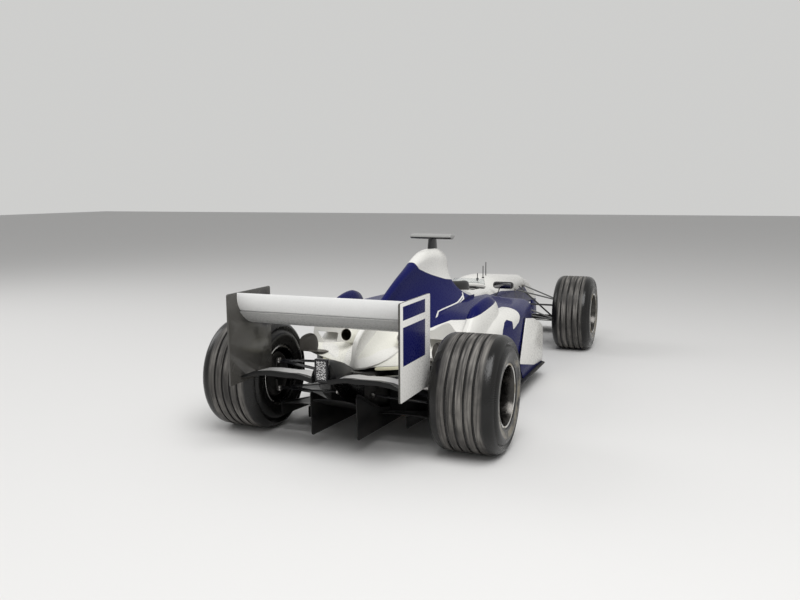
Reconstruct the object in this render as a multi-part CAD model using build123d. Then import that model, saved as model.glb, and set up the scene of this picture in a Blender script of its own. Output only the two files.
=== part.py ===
from build123d import *
import math
import os

# Open wheel racing car, millimetres. +Z is up and the nose points along -Y, so the driver's right is -X.
# The origin lies on the ground, under the middle of the car's length.

# Overall size
wheelbase = 3100.0
front_overhang = 1000.0          # nose tip ahead of the front axle
rear_overhang = 597.0            # wing end plates behind the rear axle
rear_axle_y = (wheelbase + front_overhang - rear_overhang) / 2
front_axle_y = rear_axle_y - wheelbase
nose_tip_y = front_axle_y - front_overhang
tail_y = rear_axle_y + rear_overhang

# Clearances
seat_gap = 0.3                   # between fixed pieces whose faces are curved
fit_gap = 0.05                   # radial, between a shaft and its bearing
bead_gap = 0.2                   # between a tyre and its rim

# Wheels
tyre_radius = 330.0
front_tyre_width = 333.0
rear_tyre_width = 380.0
front_wheel_x = 722.5            # middle of the tyre, from the car's centre plane
rear_wheel_x = 710.0
tyre_shoulder = 40.0             # width and height of the slanted tread edge
rim_seat_radius = 166.0
rim_flange_radius = 179.0
rim_flange_width = 11.0          # the flange slants out from the bead seat to the rim's edge
rim_wall = 8.0
front_rim_width = 322.0
rear_rim_width = 350.0
rim_disc_offset = 55.0           # of the spoked disc's outside, outboard of the tyre's middle
rim_disc_thickness = 14.0
rim_disc_radius = 150.0
rim_spokes = 6
rim_window_inner = 62.0
rim_window_outer = 132.0
rim_window_share = 0.55          # of the round that the windows take
wheel_nut_radius = 34.0
wheel_nut_length = 32.0
front_hub_depth = 46.0           # of the hub behind the disc
hub_radius = 48.0
hub_sides = 12
wheel_sides = 36                 # flats round a tyre and its rim

# Front uprights and steering
kingpin_x = 600.0
kingpin_radius = 9.0
ball_joint_rise = 95.0           # of the upper and lower wishbone eyes, above and below the axle
eye_radius = 18.0
eye_height = 20.0
eye_gap = 1.0
front_spindle_radius = 30.0
drum_radius = 138.0
drum_thickness = 60.0
drum_sides = 20
drum_clearance = 5.0             # between a wishbone eye and the drum
steering_arm_length = 80.0
rack_rise = 66.0                 # of the track rods above the axle
track_rod_radius = 8.0
track_rod_end = 12.0             # half size of the block at a track rod's end
track_rod_pin_radius = 6.0
track_rod_pin_length = 34.0
steering_arm_hole = 11.0
track_rod_gap = 4.0              # between a track rod's block and the steering arm below it

# Floor
plank_bottom = 45.0
plank_thickness = 10.0
plank_width = 300.0
reference_half_width = 250.0
step_height = 50.0
floor_thickness = 6.0
floor_half_width = 700.0
side_vane_inset = 37.0           # of the side vanes from the floor's edge
side_vane_thickness = 8.0
floor_front = wheelbase - 1150.0 # distances named like this one are measured forward from the rear axle
floor_narrow = 420.0
floor_back = 330.0
floor_tail_half_width = rear_wheel_x - rear_tyre_width / 2 - 20.0
splitter_front = wheelbase - 540.0
splitter_thickness = 12.0
splitter_corner = 60.0
neck_half = 40.0                 # half width of the splitter's stay under the tub
reference_z = plank_bottom + plank_thickness
step_z = reference_z + step_height
floor_top = step_z + floor_thickness

# Tub and nose: distance ahead of the rear axle, then half widths and heights of the flat underside, the
# upright side from and to, and the flat top. Faceted quarter ellipses join them.
tub_back = 1450.0
nose_back = wheelbase + 250.0
tub_wall = 18.0
bulkhead = 30.0
cockpit_back = tub_back + 110.0
cockpit_waist = wheelbase - 1200.0
cockpit_front = wheelbase - 950.0
cockpit_back_half = 205.0
cockpit_front_half = 150.0
cockpit_corner = 35.0
dash_front = cockpit_front + 8.0
dash_thickness = 20.0
dash_bottom = 430.0
tub_table = (
    (tub_back, 215.0, floor_top, 260.0, 170.0, 640.0, 160.0, 705.0),
    (cockpit_back + 140.0, 215.0, floor_top, 260.0, 170.0, 625.0, 150.0, 695.0),
    (cockpit_front - 30.0, 200.0, floor_top, 255.0, 180.0, 580.0, 95.0, 662.0),
    (cockpit_front + 250.0, 175.0, 140.0, 237.0, 230.0, 555.0, 30.0, 720.0),
    (wheelbase - 200.0, 125.0, 245.0, 200.0, 320.0, 560.0, 75.0, 672.0),
    (nose_back, 105.0, 330.0, 185.0, 410.0, 547.0, 105.0, 627.0),
)
nose_table = (                   # the first column is the share of the nose's length
    (0.0, 105.0, 330.0, 185.0, 410.0, 547.0, 105.0, 627.0),
    (0.45, 97.0, 300.0, 172.0, 375.0, 460.0, 97.0, 535.0),
    (0.85, 102.0, 285.0, 152.0, 330.0, 352.0, 102.0, 400.0),
    (0.96, 98.0, 290.0, 132.0, 321.0, 336.0, 98.0, 366.0),
    (1.0, 80.0, 297.0, 108.0, 320.0, 332.0, 80.0, 354.0),
)
corner_facets = 3

# Steering wheel and its column
steering_wheel_ahead = cockpit_front - 80.0
steering_wheel_z = 588.0
column_drop = 0.22               # fall of the column per unit of length forward
column_radius = 14.0
column_past_dash = 80.0
column_length = dash_front - steering_wheel_ahead + dash_thickness + column_past_dash
steering_wheel_radius = 130.0
steering_wheel_height = 150.0
steering_wheel_thickness = 26.0

# Engine, gearbox and rear crash structure
engine_front = tub_back
engine_back = 850.0
engine_half_width = 240.0
engine_top = 440.0
gearbox_table = (                # the same columns as the tub's
    (engine_back, 130.0, floor_top, 170.0, 150.0, 380.0, 130.0, 420.0),
    (350.0, 95.0, 130.0, 130.0, 165.0, 380.0, 95.0, 415.0),
    (0.0, 78.0, 200.0, 108.0, 230.0, 370.0, 78.0, 400.0),
    (-160.0, 45.0, 290.0, 70.0, 315.0, 405.0, 45.0, 430.0),
    (-330.0, 28.0, 400.0, 46.0, 418.0, 472.0, 28.0, 490.0),
    (-455.0, 25.0, 425.0, 40.0, 440.0, 485.0, 25.0, 500.0),
)

# Winglets ahead of the rear wheels, as X and Z of the left one
winglet_ahead = 345.0
winglet_length = 240.0
winglet_plate = 5.0
winglet_outline = (
    (248, 470), (262, 580), (325, 580), (415, 645), (440, 650), (476, 594), (492, 517), (440, 460)
)
winglet_window = ((320, 482), (308, 545), (460, 545), (410, 482))
winglet_ramp_back = ((262, 578), (325, 578), (415, 643), (440, 648), (474, 594))
winglet_ramp_front = ((262, 540), (325, 530), (415, 515), (440, 510), (474, 500))

# Bargeboards
board_thickness = 6.0
board_line = (                   # inner face seen from above: x, ahead of the rear axle
    (300.0, wheelbase - 420.0),
    (350.0, wheelbase - 540.0),
    (410.0, wheelbase - 680.0),
    (470.0, wheelbase - 950.0),
)
board_bottom = 110.0
board_top = 430.0

# Engine cover
cover_table = (                  # ahead of the rear axle, half base, shoulder height, half top, top height
    (tub_back, 259.0, 680.0, 60.0, 745.0),
    (1345.0, 259.0, 685.0, 75.0, 775.0),
    (1320.0, 259.0, 688.0, 88.0, 1014.0),
    (1120.0, 257.0, 665.0, 62.0, 1028.0),
    (670.0, 225.0, 590.0, 34.0, 902.0),
    (300.0, 165.0, 520.0, 25.0, 755.0),
    (30.0, 118.0, 482.0, 18.0, 640.0),
    (-60.0, 100.0, 466.0, 16.0, 575.0),
    (-140.0, 82.0, 452.0, 12.0, 480.0),
)
flank_hollow = 0.16              # sag of the cover's flanks, as a share of their chord
inlet_centre_z = 898.0
inlet_half_width = 84.0
inlet_half_height = 98.0
inlet_facets = 20
inlet_wall = 12.0
inlet_front = 1345.0
inlet_root = 1310.0
inlet_depth = 180.0

# Camera pod on the roll hoop
pod_half_span = 153.0
pod_chord = 105.0
pod_bottom = 1092.0
pod_top = 1130.0
pod_middle = 1255.0
pod_stem_root = 960.0
pod_stem_chord = 190.0
pod_stem_width = 26.0

# Side pods
side_inlet = wheelbase - 1320.0
# columns: ahead of the rear axle, inner x, bottom x, widest x, side from, side to, top x, top z, inner z
pod_table = (
    (side_inlet, 255.0, 470.0, 615.0, 330.0, 540.0, 530.0, 616.0, 640.0),
    (1300.0, 255.0, 520.0, 655.0, 380.0, 545.0, 540.0, 624.0, 665.0),
    (900.0, 250.0, 500.0, 610.0, 330.0, 500.0, 500.0, 618.0, 655.0),
    (620.0, 220.0, 420.0, 545.0, 290.0, 450.0, 450.0, 560.0, 600.0),
    (350.0, 170.0, 330.0, 470.0, 240.0, 410.0, 400.0, 478.0, 500.0),
    (120.0, 140.0, 190.0, 250.0, 180.0, 360.0, 210.0, 436.0, 440.0),
)
undercut_facets = 2
# columns: ahead of the rear axle, inner x, outer x and top z of the raised fairing on each pod
fairing_table = (
    (1130.0, 475.0, 525.0, 625.0),
    (1050.0, 440.0, 560.0, 715.0),
    (930.0, 430.0, 570.0, 738.0),
    (700.0, 430.0, 555.0, 712.0),
    (540.0, 440.0, 500.0, 560.0),
)
fairing_root = 520.0
fairing_edge = 22.0
duct_wall = 22.0
duct_back = 1050.0
duct_back_floor = 405.0
duct_corner = 40.0
radiator_front = 1240.0
radiator_thickness = 60.0

# Tailpipes
tailpipe_radius = 36.0
tailpipe_wall = 3.0
pipe_facets = 16
tailpipe_start = (165.0, 470.0, 500.0)   # of the left one: x, ahead of the rear axle, z
tailpipe_end = (205.0, 215.0, 560.0)

# Diffuser
diffuser_back = -350.0
diffuser_channel_half = 140.0
diffuser_roof_back = 300.0
diffuser_side_end = -60.0
diffuser_side_roof_back = 170.0
fin_thickness = 6.0
fin_bottom = 90.0

# Rear light
light_half_width = 38.5
light_bottom = 439.0
light_top = 561.0
light_depth = 30.0

# Rear wing
wing_half_span = rear_wheel_x - rear_tyre_width / 2 - 20.0
rear_main_chord = 258.0
rear_main_z = 776.0
rear_flap_chord = 160.0
rear_flap_z = 798.0
rear_flap_step = 140.0           # of the flap's leading edge ahead of the end plates' back edge
endplate_thickness = 12.0
endplate_front = -170.0
endplate_bottom = 396.0
endplate_top = 897.0
beam_chord = 170.0
beam_front = -330.0
beam_z = 462.0

# Front wing
front_wing_half_span = 700.0
front_endplate_thickness = 10.0
front_wing_back = wheelbase + 460.0
front_wing_z = 95.0
front_endplate_bottom = 60.0
front_endplate_top = 265.0
pillar_x = 150.0
pillar_thickness = 16.0
pillar_chord = 225.0

# Headrest
headrest_back = 1390.0
headrest_top = 772.0
headrest_gap = 120.0

# Windscreen
screen_depth = 45.0
screen_thickness = 4.0
screen_bottom = 640.0
screen_top = 712.0

# Mirrors
mirror_ahead = cockpit_front - 140.0
mirror_inner_x = 250.0
mirror_width = 160.0
mirror_z = 685.0

# Masts: x, ahead of the rear axle, top
mast_table = (
    (-50.0, cockpit_front + 80.0, 750.0),
    (-75.0, cockpit_front + 160.0, 805.0),
    (-75.0, cockpit_front + 245.0, 830.0),
)
mast_radius = 4.0

# Rear corner
rear_upright_x = 560.0
rear_drum_thickness = 60.0
driveshaft_radius = 25.0
arm_slot = 3.0                   # between a rear arm and the bodywork that it passes through
arm_root_x = 60.0                # where the arms' centre lines end, inside the gearbox
rear_arm_table = (               # outer rise, inner height, spread ahead and behind
    (88.0, 370.0, 300.0, 60.0),
    (-88.0, 275.0, 300.0, 60.0),
)
gearbox_core = 60.0              # half width of the gearbox between its two driveshafts


def y_at(ahead):
    """Y of a place given as a distance ahead of the rear axle."""
    return rear_axle_y - ahead


def cross_plane(y):
    """Plane across the car: its own x is the car's X and its own y is the car's Z."""
    return Plane(origin=(0, y, 0), x_dir=(1, 0, 0), z_dir=(0, -1, 0))


def side_plane(x):
    """Plane along the car: its own x is the car's Y and its own y is the car's Z."""
    return Plane(origin=(x, 0, 0), x_dir=(0, 1, 0), z_dir=(1, 0, 0))


def block(x_low, x_high, y_low, y_high, z_low, z_high):
    """Box between two corners."""
    size = (x_high - x_low, y_high - y_low, z_high - z_low)
    middle = ((x_low + x_high) / 2, (y_low + y_high) / 2, (z_low + z_high) / 2)
    return Pos(*middle) * Box(*size)


def quarter(upright, level, facets):
    """Quarter ellipse as straight facets, from its upright end to its level end, each given as x and z."""
    points = []
    for number in range(facets + 1):
        turn = math.pi / 2 * number / facets
        x = level[0] + (upright[0] - level[0]) * math.cos(turn)
        z = upright[1] + (level[1] - upright[1]) * math.sin(turn)
        points.append((x, z))
    return points


def symmetrical(y, right_side):
    """Closed outline across the car from its right hand half, listed from the underside to the top."""
    outline = [Vector(x, y, z) for x, z in right_side]
    return outline + [Vector(-x, y, z) for x, z in reversed(right_side)]


def patch(a, b, c, d):
    """Flat faces that fill the gap between four corners in turn: one if they lie in a plane, else two."""
    normal = (b - a).cross(c - a)
    if abs(normal.dot(d - a)) < 1e-6 * normal.length:
        return [Face(Wire.make_polygon((a, b, c, d)))]
    if (c - a).length < (d - b).length:
        corners = ((a, b, c), (a, c, d))
    else:
        corners = ((a, b, d), (b, c, d))
    return [Face(Wire.make_polygon(three)) for three in corners]


def skin(outlines, ring=False):
    """Solid through closed outlines of equally many points; a ring has no ends."""
    pairs = list(zip(outlines, outlines[1:]))
    faces = []
    if ring:
        pairs.append((outlines[-1], outlines[0]))
    else:
        faces = [Face(Wire.make_polygon(outlines[0])), Face(Wire.make_polygon(outlines[-1]))]
    for near, far in pairs:
        for number, point in enumerate(near):
            after = (number + 1) % len(near)
            faces += patch(point, near[after], far[after], far[number])
    solid = Solid(Shell(faces))
    return solid if solid.volume > 0 else -solid


def turned(section, sides):
    """Ring round the X axis from its section, given as x and radius, with flat sides round it."""
    outlines = []
    for number in range(sides):
        turn = 2 * math.pi * number / sides
        ahead = math.cos(turn)
        up = math.sin(turn)
        outlines.append([Vector(x, radius * ahead, radius * up) for x, radius in section])
    return skin(outlines, ring=True)


def hull(table, grow=0.0):
    """Rounded body through stations of Y and the columns of the tub's table."""
    outlines = []
    for y, x_low, z_low, x_wide, z_from, z_to, x_top, z_top in table:
        wide = x_wide + grow
        under = quarter((wide, z_from), (x_low + grow, z_low - grow), corner_facets)
        over = quarter((wide, z_to), (x_top + grow, z_top + grow), corner_facets)
        outlines.append(symmetrical(y, under[::-1] + over))
    return skin(outlines)


def stations(table):
    """The same table with Y in place of its first column."""
    return [(y_at(row[0]),) + row[1:] for row in table]


def mirrored(shape):
    """The same shape on the other side of the car."""
    return mirror(shape, about=Plane.YZ)


def both_sides(shape):
    """A shape and its mirror image, as solids of one node."""
    return Compound(children=list(shape.solids()) + list(mirrored(shape).solids()))


def strut(start, end, chord, thickness):
    """Straight suspension leg of flat six-sided section, its long side along the car."""
    run = Vector(*end) - Vector(*start)
    along = Vector(0, 1, 0)
    leg = run.normalized()
    wide = along - leg * along.dot(leg)
    base = Plane(origin=start, x_dir=wide, z_dir=leg)
    half = thickness / 2
    flat = chord * 0.22
    tip = chord / 2
    outline = ((tip, 0), (flat, half), (-flat, half), (-tip, 0), (-flat, -half), (flat, -half))
    return extrude(base * make_face(Polyline(*outline, close=True)), run.length)


def rod(start, end, radius):
    """Straight round bar."""
    run = Vector(*end) - Vector(*start)
    return extrude(Plane(origin=start, z_dir=run.normalized()) * Circle(radius), run.length)


def bar(start, end, radius, sides):
    """Straight bar with flat sides, for what need not be truly round."""
    run = Vector(*end) - Vector(*start)
    return extrude(Plane(origin=start, z_dir=run.normalized()) * RegularPolygon(radius, sides), run.length)


def aerofoil(chord, thickness, camber):
    """Wing section with its leading edge at the origin, hollow side up."""
    nose = thickness * 0.45
    edge = 2.5
    under = ThreePointArc((0, 0), (chord * 0.42, -camber - thickness * 0.4), (chord, 0))
    back = Line((chord, 0), (chord, edge))
    over = ThreePointArc((chord, edge), (chord * 0.5, -camber + thickness * 0.6), (0, nose))
    front = ThreePointArc((0, nose), (-nose * 0.5, nose * 0.5), (0, 0))
    return make_face(under + back + over + front)


def wing(y_front, z_front, pitch, section, half_span):
    """Aerofoil drawn across the car; pitch lifts its trailing edge."""
    place = side_plane(-half_span) * Pos(y_front, z_front) * Rot(0, 0, pitch)
    return extrude(place * section, 2 * half_span)


def plate(points, x, thickness):
    """Upright plate along the car, its outline given as Y and Z."""
    return extrude(side_plane(x) * make_face(Polyline(*points, close=True)), thickness)


def largest(shape):
    """The main solid of a trimmed piece, without the stub left inside its neighbour."""
    return shape.solids().sort_by(SortBy.VOLUME)[-1]


def tub_hull(grow=0.0):
    return hull(stations(tub_table), grow)


def gearbox_hull(grow=0.0):
    return hull(stations(gearbox_table), grow)


def monocoque():
    """Hollow tub with its cockpit opening, foot well, dash bulkhead and track rod holes."""
    outer = tub_hull()
    hollow_box = block(-400, 400, y_at(nose_back - bulkhead), y_at(tub_back + bulkhead), 0, 1000)
    hollow = tub_hull(-tub_wall) & hollow_box
    mouth = Polyline(
        (-cockpit_back_half, y_at(cockpit_back)),
        (cockpit_back_half, y_at(cockpit_back)),
        (cockpit_back_half, y_at(cockpit_waist)),
        (cockpit_front_half, y_at(cockpit_front)),
        (-cockpit_front_half, y_at(cockpit_front)),
        (-cockpit_back_half, y_at(cockpit_waist)),
        close=True,
    )
    corners = make_face(mouth).vertices()
    opening = extrude(Plane.XY.offset(560) * chamfer(corners, cockpit_corner), 300)
    dash_box = block(-400, 400, y_at(dash_front + dash_thickness), y_at(dash_front), dash_bottom, 1000)
    dash = tub_hull(-tub_wall / 2) & dash_box
    tub = outer - hollow - opening + dash
    hole = steering_column_line(column_radius + fit_gap)
    rods = track_rods_line(track_rod_radius + fit_gap)
    return tub - hole - rods


def column_frame():
    """Plane at the steering wheel's hub, looking down the column."""
    return Plane(
        origin=(0, y_at(steering_wheel_ahead), steering_wheel_z),
        x_dir=(1, 0, 0),
        z_dir=(0, -1, -column_drop),
    )


def steering_column_line(radius):
    return extrude(column_frame() * Circle(radius), column_length)


def steering_wheel():
    """Open topped racing wheel: grips, centre plate and the column that turns with it."""
    grips = Rectangle(2 * steering_wheel_radius, steering_wheel_height)
    grips = chamfer(grips.vertices(), 40)
    window = Rectangle(2 * steering_wheel_radius - 60, steering_wheel_height - 55)
    window = chamfer(window.vertices(), 20)
    centre = Rectangle(steering_wheel_radius + 20, steering_wheel_height - 46)
    face = grips - window + centre
    rim = extrude(column_frame() * face, steering_wheel_thickness)
    return rim + steering_column_line(column_radius)


def track_rods_line(radius):
    y = front_axle_y + steering_arm_length
    z = tyre_radius + rack_rise
    return rod((-kingpin_x + track_rod_end, y, z), (kingpin_x - track_rod_end, y, z), radius)


def track_rods():
    """Steering rack and both track rods, one bar that slides across the tub, with a pin at each end."""
    rods = track_rods_line(track_rod_radius)
    y = front_axle_y + steering_arm_length
    z = tyre_radius + rack_rise
    half = track_rod_end
    for side in (-1, 1):
        end = side * kingpin_x
        rods += block(end - half, end + half, y - half, y + half, z - half, z + half)
        rods += bar((end, y, z - half - track_rod_pin_length), (end, y, z - half), track_rod_pin_radius, 6)
    return rods


def nose_hull(grow=0.0):
    length = y_at(nose_back) - nose_tip_y
    rows = [(y_at(nose_back) - row[0] * length,) + row[1:] for row in nose_table]
    return hull(rows, grow)


def pillar_stock():
    """Left wing pillar before it is trimmed, running from the wing up into the nose."""
    front = nose_tip_y + 30
    back = front + pillar_chord
    low = front_wing_z - 20
    high = nose_table[2][7] - 40
    points = ((back - 20, low), (front, low), (front + 60, high), (back + 30, high))
    return plate(points, pillar_x - pillar_thickness / 2, pillar_thickness)


def nose_cone():
    """Nose with its two wing pillars, which end on the front wing's main plane."""
    plane = front_wing_main()
    pillar = pillar_stock() - plane - Pos(0, 0, seat_gap) * plane
    pillar = pillar.solids().sort_by(Axis.Z)[-1]
    pieces = nose_hull() + pillar + mirrored(pillar)
    return pieces


def front_wing_main():
    section = aerofoil(250, 26, 16)
    inner = front_wing_half_span - front_endplate_thickness
    return wing(nose_tip_y + 30, front_wing_z, 4, section, inner)


def front_wing_flap():
    section = aerofoil(190, 16, 14)
    inner = front_wing_half_span - front_endplate_thickness
    return wing(nose_tip_y + 275, front_wing_z + 26, 24, section, inner)


def front_wing():
    """Main plane and flap, both held by the end plates."""
    return Compound(children=[front_wing_main().solid(), front_wing_flap().solid()])


def front_endplates():
    y_front = nose_tip_y + 10
    y_back = y_at(front_wing_back)
    low = front_endplate_bottom
    high = front_endplate_top
    points = (
        (y_back, low),
        (y_front + 40, low),
        (y_front, low + 60),
        (y_front + 60, high - 65),
        (y_back, high),
    )
    one = plate(points, front_wing_half_span - front_endplate_thickness, front_endplate_thickness)
    return both_sides(one)


def cover_section(y, half_base, z_shoulder, half_top, z_top, grow):
    """One section of the engine cover: upright sides, hollow flanks and a round spine."""
    foot = (half_base + grow, z_shoulder)
    spring = (half_top + grow, z_top - half_top)
    run_x = spring[0] - foot[0]
    run_z = spring[1] - foot[1]
    outline = [(foot[0], engine_top - grow), foot]
    for share in (1 / 3, 2 / 3):
        sag = 4 * flank_hollow * share * (1 - share)
        outline.append((foot[0] + share * run_x - sag * run_z, foot[1] + share * run_z + sag * run_x))
    crown = (spring[0] * 0.3, z_top + grow)
    outline += quarter(spring, crown, 2)
    return symmetrical(y, outline)


def cover_hull(grow=0.0):
    return skin([cover_section(*row, grow) for row in stations(cover_table)])


def tailpipe_line(radius):
    """Axis of the left exhaust tailpipe, drawn as a bar of the given radius."""
    ends = []
    for x, ahead, z in (tailpipe_start, tailpipe_end):
        ends.append((x, y_at(ahead), z))
    return bar(*ends, radius, pipe_facets)


def inlet_outline(half_width, half_height):
    """Oval of the air inlet, in straight facets."""
    points = []
    for number in range(inlet_facets):
        turn = 2 * math.pi * (number + 0.5) / inlet_facets
        points.append((half_width * math.cos(turn), half_height * math.sin(turn)))
    return make_face(Polyline(*points, close=True))


def inlet_ring():
    """Short oval trunk round the air inlet."""
    mouth = inlet_outline(inlet_half_width, inlet_half_height)
    return extrude(cross_plane(y_at(inlet_root)) * Pos(0, inlet_centre_z) * mouth, inlet_front - inlet_root)


def engine_cover():
    """Engine cover with its air inlet above the driver's head."""
    throat = inlet_outline(inlet_half_width - inlet_wall, inlet_half_height - inlet_wall)
    back = inlet_front - inlet_depth
    hole = extrude(cross_plane(y_at(back)) * Pos(0, inlet_centre_z) * throat, inlet_depth + 50)
    cover = cover_hull() + inlet_ring() - hole
    pipe = tailpipe_line(tailpipe_radius + seat_gap)
    return cover - pipe - mirrored(pipe)


def camera_pod():
    """Cross shaped camera housing that stands on the cover's highest point."""
    low = pod_stem_root
    y = y_at(pod_middle)
    long = pod_stem_chord / 2
    wide = pod_stem_width / 2
    stem_line = ((0, -long), (wide, -long * 0.5), (wide * 0.8, long * 0.6), (0, long))
    stem_line += ((-wide * 0.8, long * 0.6), (-wide, -long * 0.5))
    stem = Pos(0, y, low) * extrude(make_face(Polyline(*stem_line, close=True)), pod_bottom + 10 - low)
    height = pod_top - pod_bottom
    section = chamfer(Rectangle(pod_chord, height).vertices(), height * 0.32)
    place = side_plane(-pod_half_span) * Pos(y, pod_bottom + height / 2)
    stem = stem - cover_hull() - inlet_ring()
    return largest(stem) + extrude(place * section, 2 * pod_half_span)


def pod_section(y, x_in, x_bottom, x_out, z_from, z_to, x_top, z_top, z_in):
    """One section of the left side pod: flat inner side, undercut flank, round shoulder."""
    outline = [(x_in, floor_top)]
    outline += [(x_bottom, floor_top)]
    outline += quarter((x_out, z_from), (x_bottom, floor_top), undercut_facets)[-2:0:-1]
    outline += [(x_out, z_from)]
    outline += quarter((x_out, z_to), (x_top, z_top), corner_facets)
    outline += [(x_in, z_in)]
    return [Vector(x, y, z) for x, z in outline]


def fairing_section(y, x_in, x_out, z_top):
    """One section of the raised fairing, with slanted upper edges and its root inside the pod."""
    edge = min(fairing_edge, (x_out - x_in) / 3)
    outline = (
        (x_in, fairing_root),
        (x_out, fairing_root),
        (x_out, z_top - edge),
        (x_out - edge, z_top),
        (x_in + edge, z_top),
        (x_in, z_top - edge),
    )
    return [Vector(x, y, z) for x, z in outline]


def pod_hull():
    """Left side pod with its raised fairing, before the duct and its neighbours are cut out."""
    body = skin([pod_section(*row) for row in stations(pod_table)])
    return body + skin([fairing_section(*row) for row in stations(fairing_table)])


def duct(grow=0.0):
    """Air duct of the left side pod, from its inlet back; its floor rises over the undercut."""
    front_row = pod_table[0]
    x_low = front_row[1] + duct_wall - grow
    x_high = front_row[3] - duct_wall + grow
    z_high = front_row[5] + grow
    ends = []
    edge = duct_corner
    for y, floor_z in ((y_at(side_inlet) - 20, front_row[4] + duct_wall), (y_at(duct_back), duct_back_floor)):
        z_low = floor_z - grow
        outline = (
            (x_low + edge, z_low),
            (x_high - edge, z_low),
            (x_high, z_low + edge),
            (x_high, z_high - edge),
            (x_high - edge, z_high),
            (x_low + edge, z_high),
            (x_low, z_high - edge),
            (x_low, z_low + edge),
        )
        ends.append([Vector(x, y, z) for x, z in outline])
    return skin(ends)


def sidepod_left():
    """Side pod with an open duct behind its inlet."""
    pipe = tailpipe_line(tailpipe_radius + seat_gap)
    body = pod_hull()
    body = body - engine_block_clear() - tub_hull(seat_gap) - cover_hull(seat_gap) - gearbox_hull(seat_gap)
    body = body - duct() - pipe - diffuser()
    for leg in rear_arm_legs(arm_slot):
        body = body - leg
    return largest(body)


def radiators():
    """One core across each duct."""
    slab = block(200, 700, y_at(radiator_front), y_at(radiator_front) + radiator_thickness, 0, 700)
    return both_sides(duct(-seat_gap) & slab)


def floor():
    """Stepped floor: the wide step planes and the lower reference plane with its splitter."""
    step = Polyline(
        (-floor_half_width, y_at(floor_front)),
        (floor_half_width, y_at(floor_front)),
        (floor_half_width, y_at(floor_narrow)),
        (floor_tail_half_width, y_at(floor_narrow)),
        (floor_tail_half_width, y_at(floor_back)),
        (-floor_tail_half_width, y_at(floor_back)),
        (-floor_tail_half_width, y_at(floor_narrow)),
        (-floor_half_width, y_at(floor_narrow)),
        close=True,
    )
    sheet = extrude(Plane.XY.offset(step_z) * make_face(step), floor_thickness)
    half = reference_half_width
    y_step = y_at(floor_front)
    tray_top = reference_z + splitter_thickness
    keel = block(-half, half, y_step, y_at(floor_back), reference_z, step_z)
    tray = block(-half, half, y_at(splitter_front), y_step, reference_z, tray_top)
    tray = chamfer(tray.edges().filter_by(Axis.Z).sort_by(Axis.Y)[:2], splitter_corner)
    neck = block(-neck_half, neck_half, y_at(splitter_front - 60), y_step, tray_top, 200)
    neck = neck - tub_hull(seat_gap)
    return sheet + keel + tray + neck.solids().sort_by(Axis.Z)[0]


def plank():
    """Skid board under the reference plane."""
    half = plank_width / 2
    return block(-half, half, y_at(splitter_front - 60), y_at(floor_back), plank_bottom, reference_z)


def ramp(x_low, x_high, z_front, z_back):
    """Sloping roof plate of one diffuser channel."""
    y_front = y_at(floor_back)
    y_back = y_at(diffuser_back)
    points = (
        (y_front, z_front),
        (y_back, z_back),
        (y_back, z_back + floor_thickness),
        (y_front, z_front + floor_thickness),
    )
    return plate(points, x_low, x_high - x_low)


def diffuser():
    """Rising channels behind the floor, divided by upright fins."""
    half = diffuser_channel_half
    centre = ramp(-half, half, reference_z, diffuser_roof_back)
    body = centre
    y_front = y_at(floor_back)
    y_back = y_at(diffuser_back)
    outer = floor_tail_half_width
    side_back = y_at(diffuser_side_end)
    for side in (-1, 1):
        low, high = sorted((side * half, side * outer))
        points = (
            (y_front, step_z),
            (side_back, diffuser_side_roof_back),
            (side_back, diffuser_side_roof_back + floor_thickness),
            (y_front, step_z + floor_thickness),
        )
        body += plate(points, low, high - low)
        fin = (
            (y_front, reference_z),
            (y_back, fin_bottom),
            (y_back, diffuser_roof_back + 50),
            (side_back, diffuser_roof_back - 95),
            (y_front, floor_top),
        )
        body += plate(fin, side * half - fin_thickness / 2, fin_thickness)
        edge = (
            (y_front, reference_z + 10),
            (side_back, fin_bottom),
            (side_back, diffuser_side_roof_back + 4),
            (y_front, floor_top),
        )
        body += plate(edge, side * (outer - fin_thickness / 2) - fin_thickness / 2, fin_thickness)
    return body


def side_vanes():
    """Tall boards that stand on the floor's edge beside the side pods."""
    x = floor_half_width - side_vane_inset
    points = (
        (y_at(1370), 535),
        (y_at(1210), 240),
        (y_at(1300), floor_top),
        (y_at(1940), floor_top),
        (y_at(1940), 340),
        (y_at(1900), 405),
    )
    board = plate(points, x, side_vane_thickness)
    return both_sides(board)


def bargeboards():
    """Turning boards behind the front wheels, folded in three and tied to the tub."""
    outer = [(x + board_thickness, y_at(ahead)) for x, ahead in board_line]
    inner = [(x, y_at(ahead)) for x, ahead in board_line]
    strip = make_face(Polyline(*outer, *inner[::-1], close=True))
    board = extrude(Plane.XY.offset(board_bottom) * strip, board_top - board_bottom)
    for z in (board_bottom + 140, board_top - 40):
        x, ahead = board_line[2]
        board += block(200, x + board_thickness / 2, y_at(ahead), y_at(ahead) + 40, z, z + 8)
    return both_sides(board - tub_hull(seat_gap))


def winglets():
    """Flip-ups ahead of the rear wheels: an upright plate with a window, and the ramp that rises to it."""
    y_back = y_at(winglet_ahead)
    face = cross_plane(y_back) * make_face(Polyline(*winglet_outline, close=True))
    window = cross_plane(y_back) * make_face(Polyline(*winglet_window, close=True))
    upright = extrude(face - window, winglet_plate)
    sections = []
    for y, ramp in ((y_back, winglet_ramp_back), (y_at(winglet_ahead + winglet_length), winglet_ramp_front)):
        under = [(x, z - winglet_plate) for x, z in ramp]
        sections.append([Vector(x, y, z) for x, z in tuple(ramp) + tuple(under[::-1])])
    ramp = skin(sections)
    return both_sides((upright + ramp) - pod_hull() - tailpipe_line(tailpipe_radius + seat_gap))


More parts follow.
